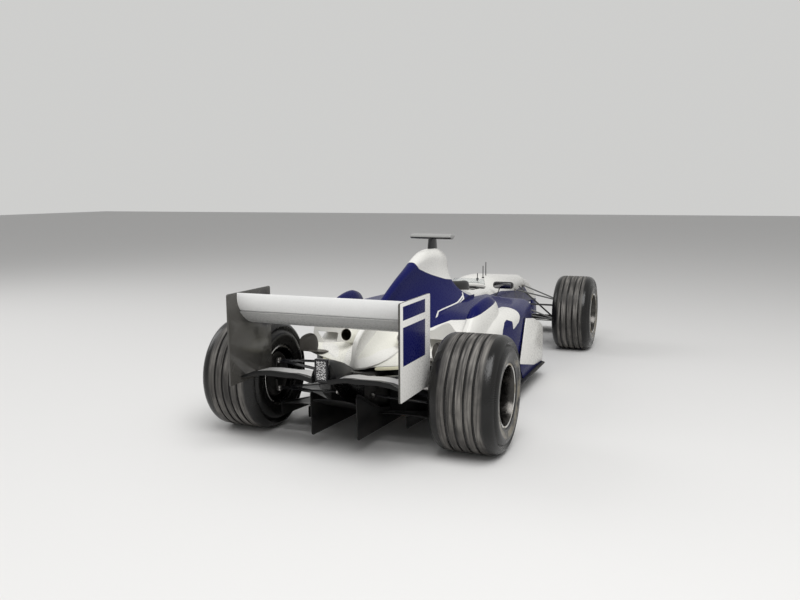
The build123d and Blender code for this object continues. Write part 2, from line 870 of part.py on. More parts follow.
def mirrors():
    """Mirror housings on stalks that stand on the tub's shoulders."""
    outline = chamfer(Rectangle(70, 56).vertices(), 15)
    shell = extrude(side_plane(mirror_inner_x) * Pos(y_at(mirror_ahead), mirror_z) * outline, mirror_width)
    foot = (225, y_at(mirror_ahead - 5), mirror_z - 125)
    stalk = bar((mirror_inner_x + 30, y_at(mirror_ahead - 5), mirror_z), foot, 8, 6)
    return both_sides((shell + stalk) - tub_hull(seat_gap))


def windscreen():
    """Low clear screen round the front of the cockpit."""
    half = cockpit_front_half - 12
    y = y_at(cockpit_front + 2)
    outer = [(half, y), (half * 0.6, y - screen_depth * 0.8), (0, y - screen_depth)]
    outer += [(-x, back) for x, back in outer[-2::-1]]
    inner = [(x * (half - screen_thickness) / half, back + screen_thickness) for x, back in outer[1:-1]]
    ends = ((half - screen_thickness, y), (screen_thickness - half, y))
    wall_line = outer + [ends[1]] + inner[::-1] + [ends[0]]
    outline = Plane.XY.offset(screen_bottom) * make_face(Polyline(*wall_line, close=True))
    wall = extrude(outline, screen_top - screen_bottom)
    return largest(wall - tub_hull(seat_gap))


def seat():
    """Moulded driver's seat: back, base and side walls, lying in the tub."""
    y_back = y_at(cockpit_back + 40)
    y_front = y_at(cockpit_front - 70)
    z_low = floor_top + tub_wall + seat_gap
    outer = (
        (y_back, 520),
        (y_back + 40, 520),
        (y_back + 40, z_low),
        (y_front, z_low),
        (y_front, 250),
        (y_back - 130, 200),
    )
    body = plate(outer, -200, 400)
    hollow = ((y_back + 20, 600), (y_back - 105, 215), (y_front + 20, 262), (y_front + 10, 600))
    body = body - plate(hollow, -165, 330)
    return body & tub_hull(-tub_wall - seat_gap)


def headrest():
    """Padded collar behind the driver's head."""
    half = cockpit_back_half - 10
    pad = block(-half, half, y_at(cockpit_back + 60), y_at(headrest_back), 640, headrest_top)
    pad -= block(-headrest_gap, headrest_gap, y_at(cockpit_back + 70), y_at(cockpit_back - 60), 600, 900)
    return largest(pad - tub_hull(seat_gap) - cover_hull() - cover_hull(seat_gap))


def engine_block_clear():
    half = engine_half_width + seat_gap
    return block(0, half, y_at(engine_front + 10), y_at(engine_back - 10), 0, engine_top)


def engine_block():
    half = engine_half_width
    return block(-half, half, y_at(engine_front), y_at(engine_back), floor_top, engine_top)


def gearbox_case():
    """Gearbox that narrows into the rear crash structure, with a bore for each driveshaft."""
    body = gearbox_hull()
    bore = rod((-300, rear_axle_y, tyre_radius), (300, rear_axle_y, tyre_radius), driveshaft_radius + fit_gap)
    core = block(-gearbox_core, gearbox_core, rear_axle_y - 80, rear_axle_y + 80, 200, 500)
    return body - (bore - core)


def rear_light():
    y = y_at(gearbox_table[-1][0])
    box = block(-light_half_width, light_half_width, y, y + light_depth, light_bottom, light_top)
    return chamfer(box.edges().filter_by(Axis.Y), 6)


def tailpipes():
    pipe = tailpipe_line(tailpipe_radius) - tailpipe_line(tailpipe_radius - tailpipe_wall)
    return both_sides(pipe)


def rear_wing_main():
    section = aerofoil(rear_main_chord, 30, 24)
    inner = wing_half_span - endplate_thickness
    return wing(y_at(endplate_front) + 12, rear_main_z, 2, section, inner)


def rear_wing_flap():
    section = aerofoil(rear_flap_chord, 16, 14)
    inner = wing_half_span - endplate_thickness
    return wing(tail_y - rear_flap_step, rear_flap_z, 38, section, inner)


def rear_endplates():
    y_front = y_at(endplate_front)
    points = (
        (y_front, endplate_bottom),
        (tail_y - 60, endplate_bottom),
        (tail_y, endplate_bottom + 40),
        (tail_y, endplate_top),
        (y_front, endplate_top),
    )
    return both_sides(plate(points, wing_half_span - endplate_thickness, endplate_thickness))


def beam_wing():
    """Lower wing that ties the end plates to the crash structure."""
    section = aerofoil(beam_chord, 18, 10)
    inner = wing_half_span - endplate_thickness
    bar = wing(y_at(beam_front), beam_z, 8, section, inner)
    return bar - gearbox_hull(2 * seat_gap) - rear_light_clear()


def rear_light_clear():
    y = y_at(gearbox_table[-1][0])
    half = light_half_width + seat_gap
    return block(-half, half, y - seat_gap, y + light_depth + 100, light_bottom - 30, light_top)


def front_wishbones():
    """Upper and lower arms with their pushrods; each arm ends in an eye on the kingpin line."""
    pieces = []
    pin_hole = Pos(kingpin_x, front_axle_y, tyre_radius) * Cylinder(kingpin_radius + fit_gap, 400)
    inner_x = 120
    arms = (                      # eye rise, inner height, inner spread ahead and behind
        (ball_joint_rise, 560, 190, 210),
        (-ball_joint_rise, 345, 210, 190),
    )
    for rise, inner_z, ahead, behind in arms:
        tip = (kingpin_x - 6, front_axle_y, tyre_radius + rise)
        arm = strut(tip, (inner_x, front_axle_y - ahead, inner_z), 46, 14)
        arm += strut(tip, (inner_x, front_axle_y + behind, inner_z), 46, 14)
        arm = arm & block(0, kingpin_x, front_axle_y - 400, front_axle_y + 400, 0, 900)
        boss = extrude(RegularPolygon(eye_radius, 8), eye_height / 2, both=True)
        arm += Pos(kingpin_x, front_axle_y, tyre_radius + rise) * boss
        if rise < 0:
            foot = (kingpin_x - 45, front_axle_y, tyre_radius + rise)
            arm += strut(foot, (inner_x, front_axle_y, 600), 26, 18)
        pieces.append(largest((arm - pin_hole) - tub_hull(seat_gap)))
    return both_sides(Compound(children=pieces))


def front_upright():
    """Left front upright: drum, boss, spindle, kingpins and steering arm."""
    z = tyre_radius
    y = front_axle_y
    drum_x = kingpin_x + eye_radius + drum_clearance
    drum = bar((drum_x, y, z), (drum_x + drum_thickness, y, z), drum_radius, drum_sides)
    end = front_wheel_x + rim_disc_offset - 8
    spindle = rod((drum_x, y, z), (end, y, z), front_spindle_radius)
    body = drum + spindle
    lug_inner = ball_joint_rise - eye_height / 2 - eye_gap
    for side in (-1, 1):
        near = z + side * (lug_inner - 22)
        far = z + side * lug_inner
        body += block(kingpin_x - 14, drum_x + 5, y - 14, y + 14, min(near, far), max(near, far))
        tip = z + side * (ball_joint_rise + eye_height / 2 + 4)
        body += rod((kingpin_x, y, near), (kingpin_x, y, tip), kingpin_radius)
    arm_y = y + steering_arm_length
    top = z + rack_rise - track_rod_end - track_rod_gap
    arm = block(kingpin_x - 20, drum_x + 5, arm_y - 20, arm_y + 20, top - 12, top)
    hole = bar((kingpin_x, arm_y, top - 40), (kingpin_x, arm_y, top + 40), steering_arm_hole, 8)
    return body + (arm - hole)


def rear_uprights():
    """Rear uprights, each with a bore for its driveshaft."""
    x = rear_upright_x
    y = rear_axle_y
    z = tyre_radius
    drum = bar((x, y, z), (x + rear_drum_thickness, y, z), drum_radius, drum_sides)
    bore = rod((x - 10, y, z), (x + 200, y, z), driveshaft_radius + fit_gap)
    return both_sides(drum - bore)


def rear_arm_legs(grow=0.0):
    """The four legs of the left rear arms, front and rear leg of each arm in turn."""
    legs = []
    for rise, inner_z, ahead, behind in rear_arm_table:
        tip = (rear_upright_x + 10, rear_axle_y, tyre_radius + rise)
        legs.append(strut(tip, (arm_root_x, rear_axle_y - ahead, inner_z), 46 + 2 * grow, 15 + 2 * grow))
        legs.append(strut(tip, (arm_root_x, rear_axle_y + behind, inner_z), 46 + 2 * grow, 15 + 2 * grow))
    return legs


def rear_wishbones():
    """Upper and lower rear arms from the gearbox to the uprights."""
    face = rear_upright_x - seat_gap
    keep = block(0, face, rear_axle_y - 600, rear_axle_y + 400, 0, 900)
    legs = rear_arm_legs()
    pieces = []
    for front_leg, rear_leg in (legs[:2], legs[2:]):
        pieces.append(largest(((front_leg + rear_leg) & keep) - gearbox_hull(seat_gap)))
    return both_sides(Compound(children=pieces))


def driveshaft(reach):
    """Left driveshaft, carried by the gearbox and turning with the wheel."""
    y = rear_axle_y
    z = tyre_radius
    return rod((gearbox_core + 3, y, z), (reach, y, z), driveshaft_radius)


def tyre(width, rim_width):
    """Racing tyre round the X axis, its bead lying on the rim's seat and slanted flange."""
    half = width / 2
    bead = rim_width / 2 - rim_flange_width - bead_gap
    rise = (rim_flange_radius - rim_seat_radius) / rim_flange_width
    low = rim_seat_radius + bead_gap
    side_low = low + (half - bead) * rise + bead_gap
    side_high = tyre_radius - tyre_shoulder
    outline = (
        (-bead, low),
        (-half, side_low),
        (-half, side_high),
        (-half + tyre_shoulder, tyre_radius),
        (half - tyre_shoulder, tyre_radius),
        (half, side_high),
        (half, side_low),
        (bead, low),
    )
    return turned(outline, wheel_sides)


def rim(width, bore):
    """Rim round the X axis, its outside towards +X: barrel, slanted flanges and a disc with windows."""
    half = width / 2
    flange = half - rim_flange_width
    inside = rim_seat_radius - rim_wall
    front = rim_disc_offset
    back = rim_disc_offset - rim_disc_thickness
    core = wheel_nut_radius - 10
    outline = [(-half, inside), (-half, rim_flange_radius), (-flange, rim_seat_radius)]
    outline += [(flange, rim_seat_radius), (half, rim_flange_radius), (half, inside)]
    outline += [(front, rim_disc_radius)]
    outline += [(front, core), (back, core), (back, inside)]
    body = turned(outline, wheel_sides)
    nut_start = Pos(back, 0, 0) * Rot(0, 90, 0)
    body += nut_start * extrude(RegularPolygon(wheel_nut_radius, 6), rim_disc_thickness + wheel_nut_length)
    if bore > 0:
        sleeve = Pos(back - front_hub_depth, 0, 0) * Rot(0, 90, 0)
        body += sleeve * extrude(RegularPolygon(hub_radius, hub_sides), front_hub_depth)
        body -= sleeve * extrude(Circle(bore), front_hub_depth + rim_disc_thickness - 2)
    half_turn = math.pi / rim_spokes * rim_window_share
    corners = []
    for radius, turn in (
        (rim_window_inner, -half_turn),
        (rim_window_outer, -half_turn),
        (rim_window_outer, half_turn),
        (rim_window_inner, half_turn),
    ):
        corners.append((radius * math.cos(turn), radius * math.sin(turn)))
    window = make_face(Polyline(*corners, close=True))
    for number in range(rim_spokes):
        place = Plane.YZ.offset(back - 5) * Rot(0, 0, number * 360 / rim_spokes)
        body -= extrude(place * window, rim_disc_thickness + 10)
    return body


def antennas():
    """Thin masts on the tub's top, ahead of the cockpit."""
    pieces = []
    for x, ahead, top in mast_table:
        mast = bar((x, y_at(ahead), 640), (x, y_at(ahead), top), mast_radius, 6)
        pieces.append((mast - tub_hull(seat_gap)).solids().sort_by(Axis.Z)[-1])
    return Compound(children=pieces)


def save(node, shape):
    os.makedirs("parts", exist_ok=True)
    export_step(shape, "parts/" + node + ".step")


def main():
    save("monocoque", monocoque())
    save("nose_cone", nose_cone())
    save("front_wing", front_wing())
    save("front_endplates", front_endplates())
    save("engine_cover", engine_cover())
    save("camera_pod", camera_pod())
    pod = sidepod_left()
    save("sidepod_left", pod)
    save("sidepod_right", mirrored(pod))
    save("radiators", radiators())
    save("floor", floor())
    save("plank", plank())
    save("diffuser", diffuser())
    save("side_vanes", side_vanes())
    save("bargeboards", bargeboards())
    save("winglets", winglets())
    save("mirrors", mirrors())
    save("windscreen", windscreen())
    save("seat", seat())
    save("headrest", headrest())
    save("engine_block", engine_block())
    save("gearbox_case", gearbox_case())
    save("rear_light", rear_light())
    save("tailpipes", tailpipes())
    save("rear_wing_main", rear_wing_main())
    save("rear_wing_flap", rear_wing_flap())
    save("rear_endplates", rear_endplates())
    save("beam_wing", beam_wing())
    save("front_wishbones", front_wishbones())
    save("rear_uprights", rear_uprights())
    save("rear_wishbones", rear_wishbones())
    save("antennas", antennas())
    save("steering_wheel", steering_wheel())
    save("track_rods", track_rods())
    upright = front_upright()
    save("upright_front_left", upright)
    save("upright_front_right", mirrored(upright))
    shaft = driveshaft(rear_wheel_x + rim_disc_offset - rim_disc_thickness)
    save("driveshaft_left", shaft)
    save("driveshaft_right", mirrored(shaft))
    bore = front_spindle_radius + fit_gap
    corners = (                   # name, wheel x, axle y, tyre width, rim width, hub bore
        ("front", front_wheel_x, front_axle_y, front_tyre_width, front_rim_width, bore),
        ("rear", rear_wheel_x, rear_axle_y, rear_tyre_width, rear_rim_width, 0.0),
    )
    for name, x, y, tyre_width, rim_width, bore in corners:
        place = Pos(x, y, tyre_radius)
        left_tyre = place * tyre(tyre_width, rim_width)
        left_rim = place * rim(rim_width, bore)
        save("tyre_" + name + "_left", left_tyre)
        save("tyre_" + name + "_right", mirrored(left_tyre))
        save("rim_" + name + "_left", left_rim)
        save("rim_" + name + "_right", mirrored(left_rim))


main()
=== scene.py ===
import bpy
import math
from mathutils import Matrix, Vector


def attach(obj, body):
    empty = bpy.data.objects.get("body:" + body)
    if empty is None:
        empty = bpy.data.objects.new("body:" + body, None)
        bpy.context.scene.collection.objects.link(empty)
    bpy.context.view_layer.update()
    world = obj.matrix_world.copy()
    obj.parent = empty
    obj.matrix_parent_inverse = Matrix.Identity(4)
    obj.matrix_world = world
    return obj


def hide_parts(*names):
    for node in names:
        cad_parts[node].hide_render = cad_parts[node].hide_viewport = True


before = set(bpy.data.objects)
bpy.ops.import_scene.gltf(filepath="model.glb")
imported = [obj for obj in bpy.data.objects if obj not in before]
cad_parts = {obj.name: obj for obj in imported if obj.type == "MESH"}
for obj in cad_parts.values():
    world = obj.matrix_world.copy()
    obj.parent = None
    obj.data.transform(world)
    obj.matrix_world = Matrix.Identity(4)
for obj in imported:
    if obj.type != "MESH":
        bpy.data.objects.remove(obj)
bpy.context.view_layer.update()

# Place and camera
# The car stands on a pale smooth floor, seen from behind its right rear wheel at a grown person's eye height.
rear_axle_y = 1.7515
camera_place = Vector((-1.92332, 4.09594 + rear_axle_y, 1.44299))
yaw, pitch, roll = (math.radians(angle) for angle in (157.8576, -7.9466, -0.2849))
forward = Vector((math.sin(yaw) * math.cos(pitch), math.cos(yaw) * math.cos(pitch), math.sin(pitch)))
level_right = Vector((math.cos(yaw), -math.sin(yaw), 0))
level_up = level_right.cross(forward)
right = level_right * math.cos(roll) + level_up * math.sin(roll)
up = level_up * math.cos(roll) - level_right * math.sin(roll)
camera_data = bpy.data.cameras.new("camera")
camera_data.sensor_width = 36
camera_data.lens = 35.485
camera = bpy.data.objects.new("camera", camera_data)
bpy.context.scene.collection.objects.link(camera)
camera.matrix_world = Matrix.Translation(camera_place) @ Matrix((right, up, -forward)).transposed().to_4x4()
bpy.context.scene.camera = camera

bpy.ops.object.select_all(action="DESELECT")
bpy.ops.mesh.primitive_plane_add(size=80)
floor_stage = bpy.context.object
floor_stage.name = "floor_stage"
floor_paint = bpy.data.materials.new("floor_paint")
floor_paint.use_nodes = True
floor_shader = floor_paint.node_tree.nodes["Principled BSDF"]
floor_shader.inputs["Base Color"].default_value = (0.74, 0.735, 0.725, 1)
floor_shader.inputs["Roughness"].default_value = 0.85
floor_stage.data.materials.append(floor_paint)

# Studio light
# An even pale room, a large soft lamp overhead on the right and a weaker one on the left. What the camera,
# gloss and glass see of the room is a little paler than the light that it gives.
room = bpy.data.worlds.new("room")
room.use_nodes = True
room_nodes = room.node_tree.nodes
room_links = room.node_tree.links
room_light = room_nodes["Background"]
backdrop = room_nodes.new("ShaderNodeBackground")
for light, colour, strength in ((room_light, (1, 1, 1, 1), 0.40), (backdrop, (0.62, 0.62, 0.61, 1), 1.0)):
    light.inputs["Color"].default_value = colour
    light.inputs["Strength"].default_value = strength
rays = room_nodes.new("ShaderNodeLightPath")
seen = rays.outputs["Is Camera Ray"]
for ray in ("Is Glossy Ray", "Is Transmission Ray"):
    either = room_nodes.new("ShaderNodeMath")
    either.operation = "MAXIMUM"
    room_links.new(seen, either.inputs[0])
    room_links.new(rays.outputs[ray], either.inputs[1])
    seen = either.outputs["Value"]
room_mix = room_nodes.new("ShaderNodeMixShader")
room_links.new(seen, room_mix.inputs["Fac"])
room_links.new(room_light.outputs["Background"], room_mix.inputs[1])
room_links.new(backdrop.outputs["Background"], room_mix.inputs[2])
room_links.new(room_mix.outputs["Shader"], room_nodes["World Output"].inputs["Surface"])
bpy.context.scene.world = room
lamp_aim = Vector((0, 0, 0.4))
for name, place, reach, power in (
    ("overhead_lamp", (-3.0, 5.5, 9.0), 7.0, 860),
    ("left_lamp", (8.0, 1.0, 6.0), 5.0, 190),
):
    lamp_data = bpy.data.lights.new(name, "AREA")
    lamp_data.size = reach
    lamp_data.energy = power
    lamp = bpy.data.objects.new(name, lamp_data)
    bpy.context.scene.collection.objects.link(lamp)
    lamp.location = place
    lamp.rotation_euler = (lamp_aim - Vector(place)).to_track_quat("-Z", "Y").to_euler()
bpy.context.scene.view_settings.view_transform = "Standard"

# Tub
# The one piece carbon fibre body that the driver sits in: white above, navy below, cut open for the cockpit
# and hollow inside. It is laid up in a mould in two halves, smooth, and lacquered over the paint.
tub_table = (                    # ahead of the rear axle, then half widths and heights as in the solid
    (1.450, 0.215, 0.111, 0.260, 0.170, 0.640, 0.160, 0.705),
    (1.700, 0.215, 0.111, 0.260, 0.170, 0.625, 0.150, 0.695),
    (2.120, 0.200, 0.111, 0.255, 0.180, 0.580, 0.095, 0.662),
    (2.400, 0.175, 0.140, 0.237, 0.230, 0.555, 0.030, 0.720),
    (2.900, 0.125, 0.245, 0.200, 0.320, 0.560, 0.075, 0.672),
    (3.350, 0.105, 0.330, 0.185, 0.410, 0.547, 0.105, 0.627),
)
tub_wall = 0.018
weld = 0.00002                   # points nearer than this are one
white = (0.80, 0.79, 0.75)
navy = (0.006, 0.008, 0.085)


def eased(table, steps):
    """Rows between a table's rows, each column on a smooth curve that never overshoots its rows."""
    last = len(table) - 1

    def secant(column, i):
        return (table[i + 1][column] - table[i][column]) / (table[i + 1][0] - table[i][0])

    def lean(column, i):
        if i == 0 or i == last:
            return secant(column, min(i, last - 1))
        before = secant(column, i - 1)
        after = secant(column, i)
        return 0 if before * after <= 0 else 2 * before * after / (before + after)

    rows = []
    for i in range(last):
        here, after = table[i], table[i + 1]
        run = after[0] - here[0]
        for step in range(steps):
            t = step / steps
            row = [here[0] + run * t]
            for column in range(1, len(here)):
                start = (2 * t ** 3 - 3 * t ** 2 + 1) * here[column]
                start += (t ** 3 - 2 * t ** 2 + t) * run * lean(column, i)
                end = (3 * t ** 2 - 2 * t ** 3) * after[column] + (t ** 3 - t ** 2) * run * lean(column, i + 1)
                row.append(start + end)
            rows.append(row)
    return rows + [list(table[-1])]


def quarter(upright, level, facets=9):
    """Quarter ellipse from its upright end to its level end, each given as x and z."""
    points = []
    for number in range(facets + 1):
        turn = math.pi / 2 * number / facets
        x = level[0] + (upright[0] - level[0]) * math.cos(turn)
        points.append((x, upright[1] + (level[1] - upright[1]) * math.sin(turn)))
    return points


def both_halves(outline):
    """Closed outline from its half on one side of the car."""
    return outline + [(-x, z) for x, z in reversed(outline)]


def only(piece):
    """Makes one object the only one that is selected."""
    bpy.ops.object.select_all(action="DESELECT")
    piece.select_set(True)
    bpy.context.view_layer.objects.active = piece


def added(name, primitive, **settings):
    """New primitive, the only one selected."""
    bpy.ops.object.select_all(action="DESELECT")
    primitive(**settings)
    bpy.context.object.name = name
    return bpy.context.object


def laid(piece, places):
    """A primitive with its points laid on places."""
    for vertex, place in zip(piece.data.vertices, places):
        vertex.co = place
    return piece


def edited(piece, *steps, outward=True):
    """Steps of edit mode on all of a piece, and then its normals turned outwards."""
    bpy.ops.object.mode_set(mode="EDIT")
    for operator, settings in steps + ((bpy.ops.mesh.normals_make_consistent, {"inside": False}),) * outward:
        bpy.ops.mesh.select_all(action="SELECT")
        operator(**settings)
    bpy.ops.object.mode_set(mode="OBJECT")
    return piece


def modified(piece, kind, **settings):
    """Puts one modifier on a piece and applies it."""
    only(piece)
    change = piece.modifiers.new("change", kind)
    for setting, value in settings.items():
        setattr(change, setting, value)
    bpy.ops.object.modifier_apply(modifier=change.name)


def grid(name, rows):
    """Grid primitive laid over rows of points."""
    piece = added(
        name, bpy.ops.mesh.primitive_grid_add, x_subdivisions=len(rows[0]) - 1, y_subdivisions=len(rows) - 1)
    return laid(piece, [place for row in rows for place in row])


def loft(name, rings):
    """Closed skin over rings of points, its seam merged and both ends filled."""
    piece = grid(name, [ring + ring[:1] for ring in rings])
    return edited(
        piece, (bpy.ops.mesh.remove_doubles, {"threshold": weld}), (bpy.ops.mesh.fill_holes, {"sides": 0}))


def wrap(name, sections):
    """Body skin over sections across the car, given as Y with an outline of x and z."""
    return loft(name, [[(x, y, z) for x, z in outline] for y, outline in sections])


def flat(name, corners, reach):
    """Thick flat piece: a filled circle primitive laid on the corners, and extruded by a reach."""
    piece = added(name, bpy.ops.mesh.primitive_circle_add, vertices=len(corners), fill_type="NGON")
    laid(piece, corners)
    return edited(piece, (bpy.ops.mesh.extrude_region_move, {"TRANSFORM_OT_translate": {"value": reach}}))


def rounded(corners, reach, facets=5):
    """Outline with each corner cut back by a reach and curved."""
    outline = []
    for before, corner, after in zip(corners[-1:] + corners[:-1], corners, corners[1:] + corners[:1]):
        corner = Vector(corner)
        near = corner + (Vector(before) - corner).normalized() * reach
        far = corner + (Vector(after) - corner).normalized() * reach
        for number in range(facets + 1):
            t = number / facets
            outline.append(tuple(near * (1 - t) ** 2 + corner * 2 * t * (1 - t) + far * t ** 2))
    return outline


def cut(piece, cutter, operation="DIFFERENCE"):
    """Boolean of two pieces; the second is used up."""
    modified(piece, "BOOLEAN", operation=operation, solver="EXACT", object=cutter)
    bpy.data.objects.remove(cutter)


def block(name, low, high, edge=0.0):
    """Box primitive between two opposite corners, its edges rounded."""
    low, high = (Vector(ends) for ends in zip(*(sorted(ends) for ends in zip(low, high))))
    piece = added(name, bpy.ops.mesh.primitive_cube_add, size=1, location=(low + high) / 2, scale=high - low)
    bpy.ops.object.transform_apply(location=True, rotation=True, scale=True)
    if edge > 0:
        edited(piece, (bpy.ops.mesh.bevel, {"offset": edge, "segments": 3, "affect": "EDGES"}), outward=False)
    return piece


def soften(piece, width, angle=35):
    """Rounded edges where the surface turns sharply, and smooth shading elsewhere."""
    only(piece)
    limit = math.radians(angle)
    if width > 0:
        modified(piece, "BEVEL", width=width, segments=2, limit_method="ANGLE", angle_limit=limit)
    bpy.ops.object.shade_smooth_by_angle(angle=limit)
    return piece


def tub_sections(table, shrink=0.0, steps=8):
    """Rounded sections from a table like the tub's, all of them smaller by a wall."""
    sections = []
    for ahead, x_low, z_low, x_wide, z_from, z_to, x_top, z_top in eased(table, steps):
        wide = x_wide - shrink
        under = quarter((wide, z_from), (max(x_low - shrink, 0.01), z_low + shrink))
        over = quarter((wide, z_to), (max(x_top - shrink, 0.01), z_top - shrink))
        sections.append((rear_axle_y - ahead, both_halves(under[::-1] + over)))
    return sections


def from_axle(line):
    """Points of Y and Z from points given ahead of the rear axle."""
    return [(rear_axle_y - ahead, z) for ahead, z in line]


def feed(node, inputs):
    """Fills a node's inputs with numbers, colours or other nodes' outputs."""
    for name, value in inputs.items():
        socket = node.inputs[name]
        if isinstance(value, bpy.types.NodeSocket):
            node.id_data.links.new(value, socket)
        else:
            socket.default_value = (*value, 1) if socket.type == "RGBA" else value


def node_by(home, kind, inputs, **settings):
    """New node in the material of another node or socket."""
    node = home.id_data.nodes.new("ShaderNode" + kind)
    for setting, value in settings.items():
        setattr(node, setting, value)
    feed(node, inputs)
    return node


def coordinates(home):
    """The piece's own x, y and z."""
    place = node_by(home, "TexCoord", {}).outputs["Object"]
    return node_by(home, "SeparateXYZ", {"Vector": place}).outputs


def noisy(home, scale, stretch=(1, 1, 1), detail=4.0):
    """Noise on the piece's own coordinates."""
    place = node_by(home, "TexCoord", {}).outputs["Object"]
    place = node_by(home, "Mapping", {"Vector": place, "Scale": stretch}).outputs["Vector"]
    return node_by(home, "TexNoise", {"Vector": place, "Scale": scale, "Detail": detail}).outputs["Fac"]


def ranged(value, low, high, at_low=0.0, at_high=1.0):
    """A value spread from one range over another."""
    ends = {"From Min": low, "From Max": high, "To Min": at_low, "To Max": at_high}
    return node_by(value, "MapRange", {"Value": value, **ends}).outputs["Result"]


def maths(operation, first, *others):
    """Arithmetic on sockets or numbers, taken one after the other."""
    for other in others:
        home = first if isinstance(first, bpy.types.NodeSocket) else other
        first = node_by(home, "Math", {0: first, 1: other}, operation=operation).outputs["Value"]
    return first


def blended(mask, first, second):
    """One colour, or the other where the mask is 1."""
    return node_by(mask, "Mix", {"Factor": mask, 6: first, 7: second}, data_type="RGBA").outputs[2]


def surface(name, metallic=0.0, coat=0.0):
    """New principled material and its shader."""
    material = bpy.data.materials.new(name)
    material.use_nodes = True
    shader = material.node_tree.nodes["Principled BSDF"]
    feed(shader, {"Metallic": metallic, "Coat Weight": coat, "Coat Roughness": 0.06})
    return material, shader


def bumped(shader, height, strength, distance):
    """Relief of a surface."""
    relief = node_by(shader, "Bump", {"Strength": strength, "Distance": distance, "Height": height})
    feed(shader, {"Normal": relief.outputs["Normal"]})


def paint(name, first, second=None, mask=None, base_roughness=0.28, bare=None):
    """Lacquered paint: a slight mottle, dust in the gloss, and two colours where a mask is given. Dark paint
    mirrors less of the room. The masks are functions of the shader; the last one marks painted shade, in black."""
    material, shader = surface(name)
    mottle = noisy(shader, 7.0)
    colours = [
        blended(mottle, colour, tuple(channel * 0.90 for channel in colour))
        for colour in (first, second or first)]
    colour = blended(mask(shader), *colours) if mask else colours[0]
    if bare:
        # Painted shade: near black where the last mask is 1.
        colour = blended(bare(shader), colour, (0.012, 0.012, 0.012))
    feed(shader, {
        "Base Color": colour,
        "Specular IOR Level": ranged(colour, 0.0, 0.3, 0.03, 0.20),
        "Coat Weight": ranged(colour, 0.0, 0.3, 0.09, 0.15),
        "Roughness": ranged(noisy(shader, 90.0), 0.3, 0.7, base_roughness - 0.06, base_roughness + 0.08),
    })
    bumped(shader, noisy(shader, 160.0), 0.012, 0.0006)
    return material


def beyond(along, across, line):
    """Mask that is 1 where one coordinate lies above a line of points over another coordinate."""
    first, last = line[0][0], line[-1][0]
    low = min(height for _, height in line)
    high = max(height for _, height in line) + 0.001
    ramp = node_by(along, "ValToRGB", {"Fac": ranged(along, first, last)})
    stops = ramp.color_ramp.elements
    while len(stops) < len(line):
        stops.new(0.5)
    for stop, (place, height) in zip(stops, line):
        stop.position = (place - first) / (last - first)
        stop.color = ((height - low) / (high - low),) * 3 + (1,)
    return maths("GREATER_THAN", across, ranged(ramp.outputs["Color"], 0, 1, low, high))


def below(line):
    """Mask of what lies under a line of Y and Z."""
    def mask(shader):
        x, y, z = coordinates(shader)
        return maths("SUBTRACT", 1.0, beyond(y, z, line))
    return mask


tub = wrap("tub", tub_sections(tub_table))
hollow = wrap("hollow", tub_sections(tub_table, tub_wall))
cut(hollow, block("room_ends", (-0.4, rear_axle_y - 3.32, 0), (0.4, rear_axle_y - 1.48, 1)), "INTERSECT")
cut(hollow, block("dash", (-0.4, rear_axle_y - 2.178, 0.43), (0.4, rear_axle_y - 2.158, 1)))
cut(tub, hollow)
mouth_line = both_halves([
    (x, rear_axle_y - ahead) for ahead, x in ((1.56, 0.205), (1.90, 0.205), (2.15, 0.150))])
cut(tub, flat("mouth", [(x, y, 0.56) for x, y in rounded(mouth_line, 0.05)], (0, 0, 0.3)))
soften(tub, 0.003)
tub_line = from_axle(((3.35, 0.52), (2.9, 0.53), (2.3, 0.60), (1.45, 0.64)))
tub.data.materials.append(paint("tub_paint", white, navy, below(tub_line)))
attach(tub, "chassis")
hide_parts("monocoque")

# Nose
# The drooping carbon fibre nose box, bolted to the tub, with two upright pillars that carry the front wing.
# Its skin is one smooth moulding that ends in a rounded tip. White, with navy along its flanks and underside.
nose_table = (
    (3.351, 0.105, 0.330, 0.185, 0.410, 0.547, 0.105, 0.627),
    (3.689, 0.097, 0.300, 0.172, 0.375, 0.460, 0.097, 0.535),
    (3.989, 0.102, 0.285, 0.152, 0.330, 0.352, 0.102, 0.400),
    (4.070, 0.098, 0.290, 0.132, 0.321, 0.336, 0.098, 0.366),
    (4.093, 0.080, 0.297, 0.108, 0.320, 0.332, 0.080, 0.354),
    (4.100, 0.050, 0.310, 0.070, 0.322, 0.330, 0.050, 0.340),
)
nose_tip_y = rear_axle_y - 4.1
sides = (-1, 1)
pillar_line = ((0.225, 0.098), (0.045, 0.098), (0.035, 0.16), (0.09, 0.345), (0.285, 0.345), (0.25, 0.18))


def from_tip(line):
    """Points of Y and Z from points given behind the nose's tip."""
    return [(nose_tip_y + back, z) for back, z in line]


def plate(name, outline, x, thickness, edge=0.002):
    """Upright plate along the car from its outline of Y and Z."""
    piece = flat(name, [(x, y, z) for y, z in outline], (thickness, 0, 0))
    return soften(piece, edge) if edge > 0 else piece


def join(name, pieces):
    """Several meshes as one object."""
    only(pieces[0])
    for piece in pieces:
        piece.select_set(True)
    if len(pieces) > 1:
        bpy.ops.object.join()
    pieces[0].name = name
    return pieces[0]


nose = join("nose", [wrap("nose_shell", tub_sections(nose_table, steps=6))] + [
    plate("pillar", from_tip(pillar_line), side * 0.15 - 0.008, 0.016, 0.005) for side in sides])
soften(nose, 0)
nose_line = from_tip(((0, 0.30), (0.4, 0.36), (0.75, 0.52)))
nose.data.materials.append(paint("nose_paint", white, navy, below(nose_line)))
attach(nose, "chassis")
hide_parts("nose_cone")

# Front wing
# Main plane and slotted flap between two end plates, pressed in carbon fibre. White over, bare beneath.
wing_half = 0.690
end_line = from_tip((
    (0.64, 0.060), (0.05, 0.060), (0.02, 0.075), (0.01, 0.120), (0.07, 0.200), (0.36, 0.245), (0.62, 0.265),
    (0.64, 0.250)))


